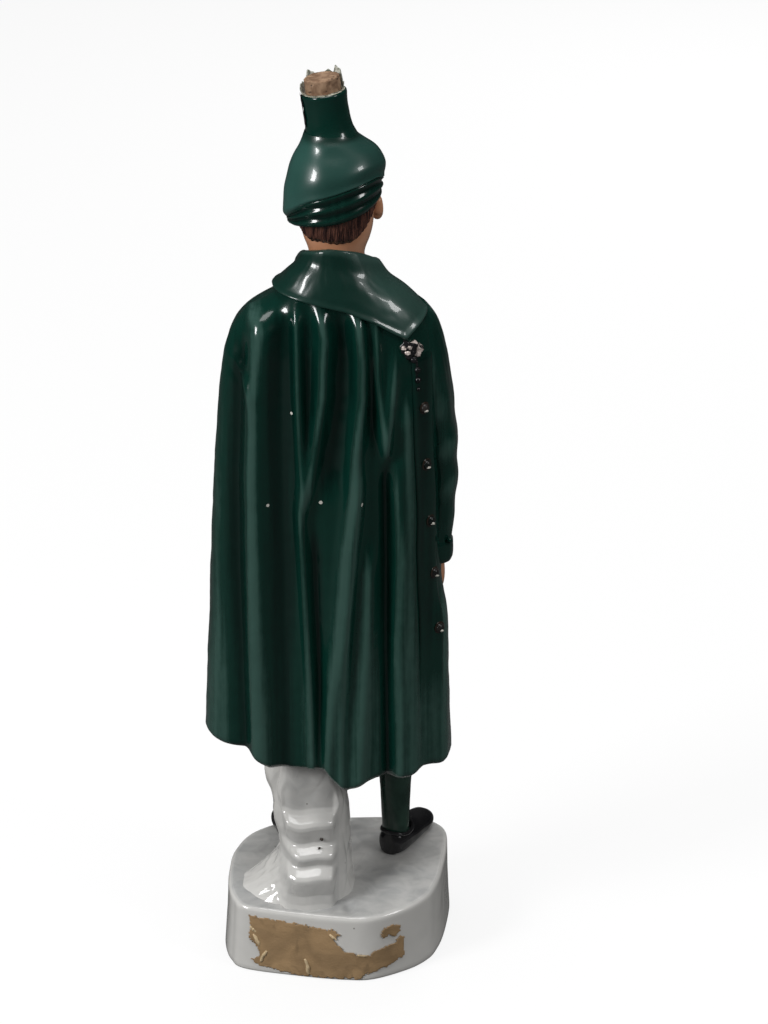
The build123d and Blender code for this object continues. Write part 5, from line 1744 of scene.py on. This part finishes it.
def plinthBackY(x, z):
    form = plinthForm
    best = None
    for i in range(form["turns"]):
        a = loopPoint(form["outline"], i / form["turns"])
        b = loopPoint(form["outline"], (i + 1) / form["turns"])
        if a.y > 0 and b.y > 0 and (a.x - x) * (b.x - x) <= 0 and a.x != b.x:
            y = mix(a.y, b.y, (x - a.x) / (b.x - a.x))
            best = y if best is None else max(best, y)
    return best - form["draft"] * clamp(z / 30) - 0.25 * math.sin(math.pi * clamp(z / 30)) if best else None


def makeCurls():
    parts = []
    for x, z, half, radius, slant in labelForm["curls"]:
        rows = []
        for k in range(17):
            t = -1 + k / 8
            bend = 0.5 * noise.noise(Vector((x, t * 1.4, 2)))
            px, pz = x + t * half * math.sin(slant) + bend, z + t * half * math.cos(slant)
            r = radius * (0.35 + 0.65 * (1 - t * t) ** 0.5)
            r *= 1 + 0.5 * noise.noise(Vector((t * 2.2, x, z)))
            y = plinthBackY(px, pz) + 0.35
            row = []
            for j in range(12):
                a = math.radians(-70 + 250 * j / 11)
                qx = px + math.cos(slant) * r * math.cos(a)
                qz = max(0.6, pz - math.sin(slant) * r * math.cos(a))
                row.append((qx, y + r * (0.55 + 0.6 * math.sin(a)), qz))
            rows.append(row)
        parts.append(ringMesh("labelCurls", rows, closed=False, capStart=False, capEnd=False))
    piece = joinPieces("labelCurls", parts)
    thick = piece.modifiers.new("thick", "SOLIDIFY")
    thick.thickness = 0.2 * mm
    thick.offset = 0
    place(piece, labelPale)


def makePaper(name, points, node):
    form = labelForm
    step, torn = form["step"], form["torn"]
    xs = [p[0] for p in points]
    zs = [p[1] for p in points]
    nx = int((max(xs) - min(xs) + 4) / step)
    nz = int((max(zs) - min(zs) + 4) / step)
    depth = {}
    verts, faces, index = [], [], {}
    for i in range(nx + 1):
        x = min(xs) - 2 + i * step
        depth[i] = plinthBackY(x, 0) or 0.0

    def vert(i, k):
        if (i, k) not in index:
            x = min(xs) - 2 + i * step
            z = min(zs) - 2 + k * step
            y = depth[i] - plinthForm["draft"] * clamp(z / 30) - 0.1 * math.sin(math.pi * clamp(z / 30))
            y += form["lift"] + 0.16 * noise.noise(Vector((x * 0.25, z * 0.25, 3)))
            index[(i, k)] = len(verts)
            verts.append((x, y, max(0.5, z)))
        return index[(i, k)]

    def tear(x, z, coarse, fine):
        wave = noise.noise(Vector((x * 0.55, z * 0.55, coarse)))
        return torn * (wave + 0.6 * noise.noise(Vector((x * 1.6, z * 1.6, fine))))

    for i in range(nx):
        for k in range(nz):
            x = min(xs) - 2 + (i + 0.5) * step
            z = min(zs) - 2 + (k + 0.5) * step
            if z > 0.9 and insideLoop(points, x + tear(x, z, 1, 5), z + tear(x, z, 9, 12)):
                faces.append((vert(i, k), vert(i + 1, k), vert(i + 1, k + 1), vert(i, k + 1)))
    piece = newMesh(name, verts, faces)
    thick = piece.modifiers.new("thick", "SOLIDIFY")
    thick.thickness = form["thick"] * mm
    thick.offset = 0
    place(piece, labelBrown, (node,))


makePlinth()
makeStump()
makePaper("paperLabel", labelForm["main"], "paper_label")
makeCurls()
makePaper("labelScrap", labelForm["scrap"], "label_scrap")
print("plinth made")

# floor, light and camera
stageLook = {
    "floor": 0.05,  # floor colour that lights the object
    "paper": 0.85,  # floor colour that the camera sees
    "clear": 0.82,  # share of the floor that the camera sees as plain white
    "ambient": 0.5,
    "mirror": 0.03,  # world strength that the glaze reflects
    "floorHalf": 6,
    "lamps": (
        ("leftLamp", (1.2, 0.75, 0.95), (0.4, 0.5), 17.0),
        ("rightLamp", (-1.3, 0.75, 1.15), (0.3, 0.35), 4.5),
        ("topLamp", (0.05, 0.15, 1.6), (0.8, 0.6), 7.0), ("frontLamp", (-0.5, -1.4, 0.9), (0.8, 1.0), 8.0),
    ),
}


class Sky(Finish):
    def __init__(self, name):
        self.world = bpy.data.worlds.new(name)
        self.world.use_nodes = True
        self.tree = self.world.node_tree
        self.shader = self.tree.nodes["Background"]

    def ray(self, kind):
        return self.node("ShaderNodeLightPath", output=kind)


def makeStage():
    look = stageLook
    sky = Sky("studio")
    bpy.context.scene.world = sky.world
    seen = sky.sum("MAXIMUM", sky.ray("Is Camera Ray"), sky.ray("Is Transmission Ray"))
    strength = seen * (1 - look["ambient"]) + look["ambient"]
    strength = strength + sky.ray("Is Glossy Ray") * (look["mirror"] - look["ambient"])
    sky.tree.links.new(strength.socket, sky.shader.inputs["Strength"])
    sky.shader.inputs["Color"].default_value = (1, 1, 1, 1)
    mesh = bpy.data.meshes.new("studioFloor")
    h = look["floorHalf"]
    mesh.from_pydata([(-h, -h, 0), (h, -h, 0), (h, h, 0), (-h, h, 0)], [], [(0, 1, 2, 3)])
    floor = bpy.data.objects.new("studioFloor", mesh)
    bpy.context.scene.collection.objects.link(floor)
    finish = Finish("floorWhite", (look["floor"],) * 3, 0.9)
    glow = finish.node("ShaderNodeEmission", {}, {"Color": (1, 1, 1, 1), "Strength": 1.0})
    path = finish.node("ShaderNodeLightPath", output="Is Camera Ray")
    finish.wear(finish.blend(path, (look["floor"],) * 3, (look["paper"],) * 3))
    paper = Value(finish, finish.shader.outputs[0])
    mixed = finish.node("ShaderNodeMixShader", {}, {0: path * look["clear"], 1: paper, 2: glow})
    finish.tree.links.new(mixed.socket, finish.tree.nodes["Material Output"].inputs[0])
    mesh.materials.append(finish.material)
    for name, spot, size, power in look["lamps"]:
        light = bpy.data.lights.new(name, "AREA")
        light.shape = "RECTANGLE"
        light.size, light.size_y = size
        light.energy = power
        lamp = bpy.data.objects.new(name, light)
        lamp.visible_glossy = name != "frontLamp"
        lamp.location = spot
        lamp.rotation_euler = (Vector((0, 0, 0.2)) - Vector(spot)).to_track_quat("-Z", "Y").to_euler()
        bpy.context.scene.collection.objects.link(lamp)


cameraForm = {
    "rise": 24.0,
    "distance": 1.4,
    "target": (0.0, -0.004, 0.190),
    "lens": 117.2,
    "shiftX": 0.0532,
    "shiftY": 0.0219,
}


def makeCamera():
    form = cameraForm
    rise = math.radians(form["rise"])
    data = bpy.data.cameras.new("photoCamera")
    data.lens = form["lens"]
    data.sensor_width = 36
    data.shift_x = form["shiftX"]
    data.shift_y = form["shiftY"]
    data.clip_end = 20
    camera = bpy.data.objects.new("photoCamera", data)
    target = Vector(form["target"])
    camera.location = target + form["distance"] * Vector((0, math.cos(rise), math.sin(rise)))
    camera.rotation_euler = (target - camera.location).to_track_quat("-Z", "Y").to_euler()
    bpy.context.scene.collection.objects.link(camera)
    bpy.context.scene.camera = camera


makeStage()
makeCamera()
bpy.context.scene.view_settings.view_transform = "Standard"
print("stage made")
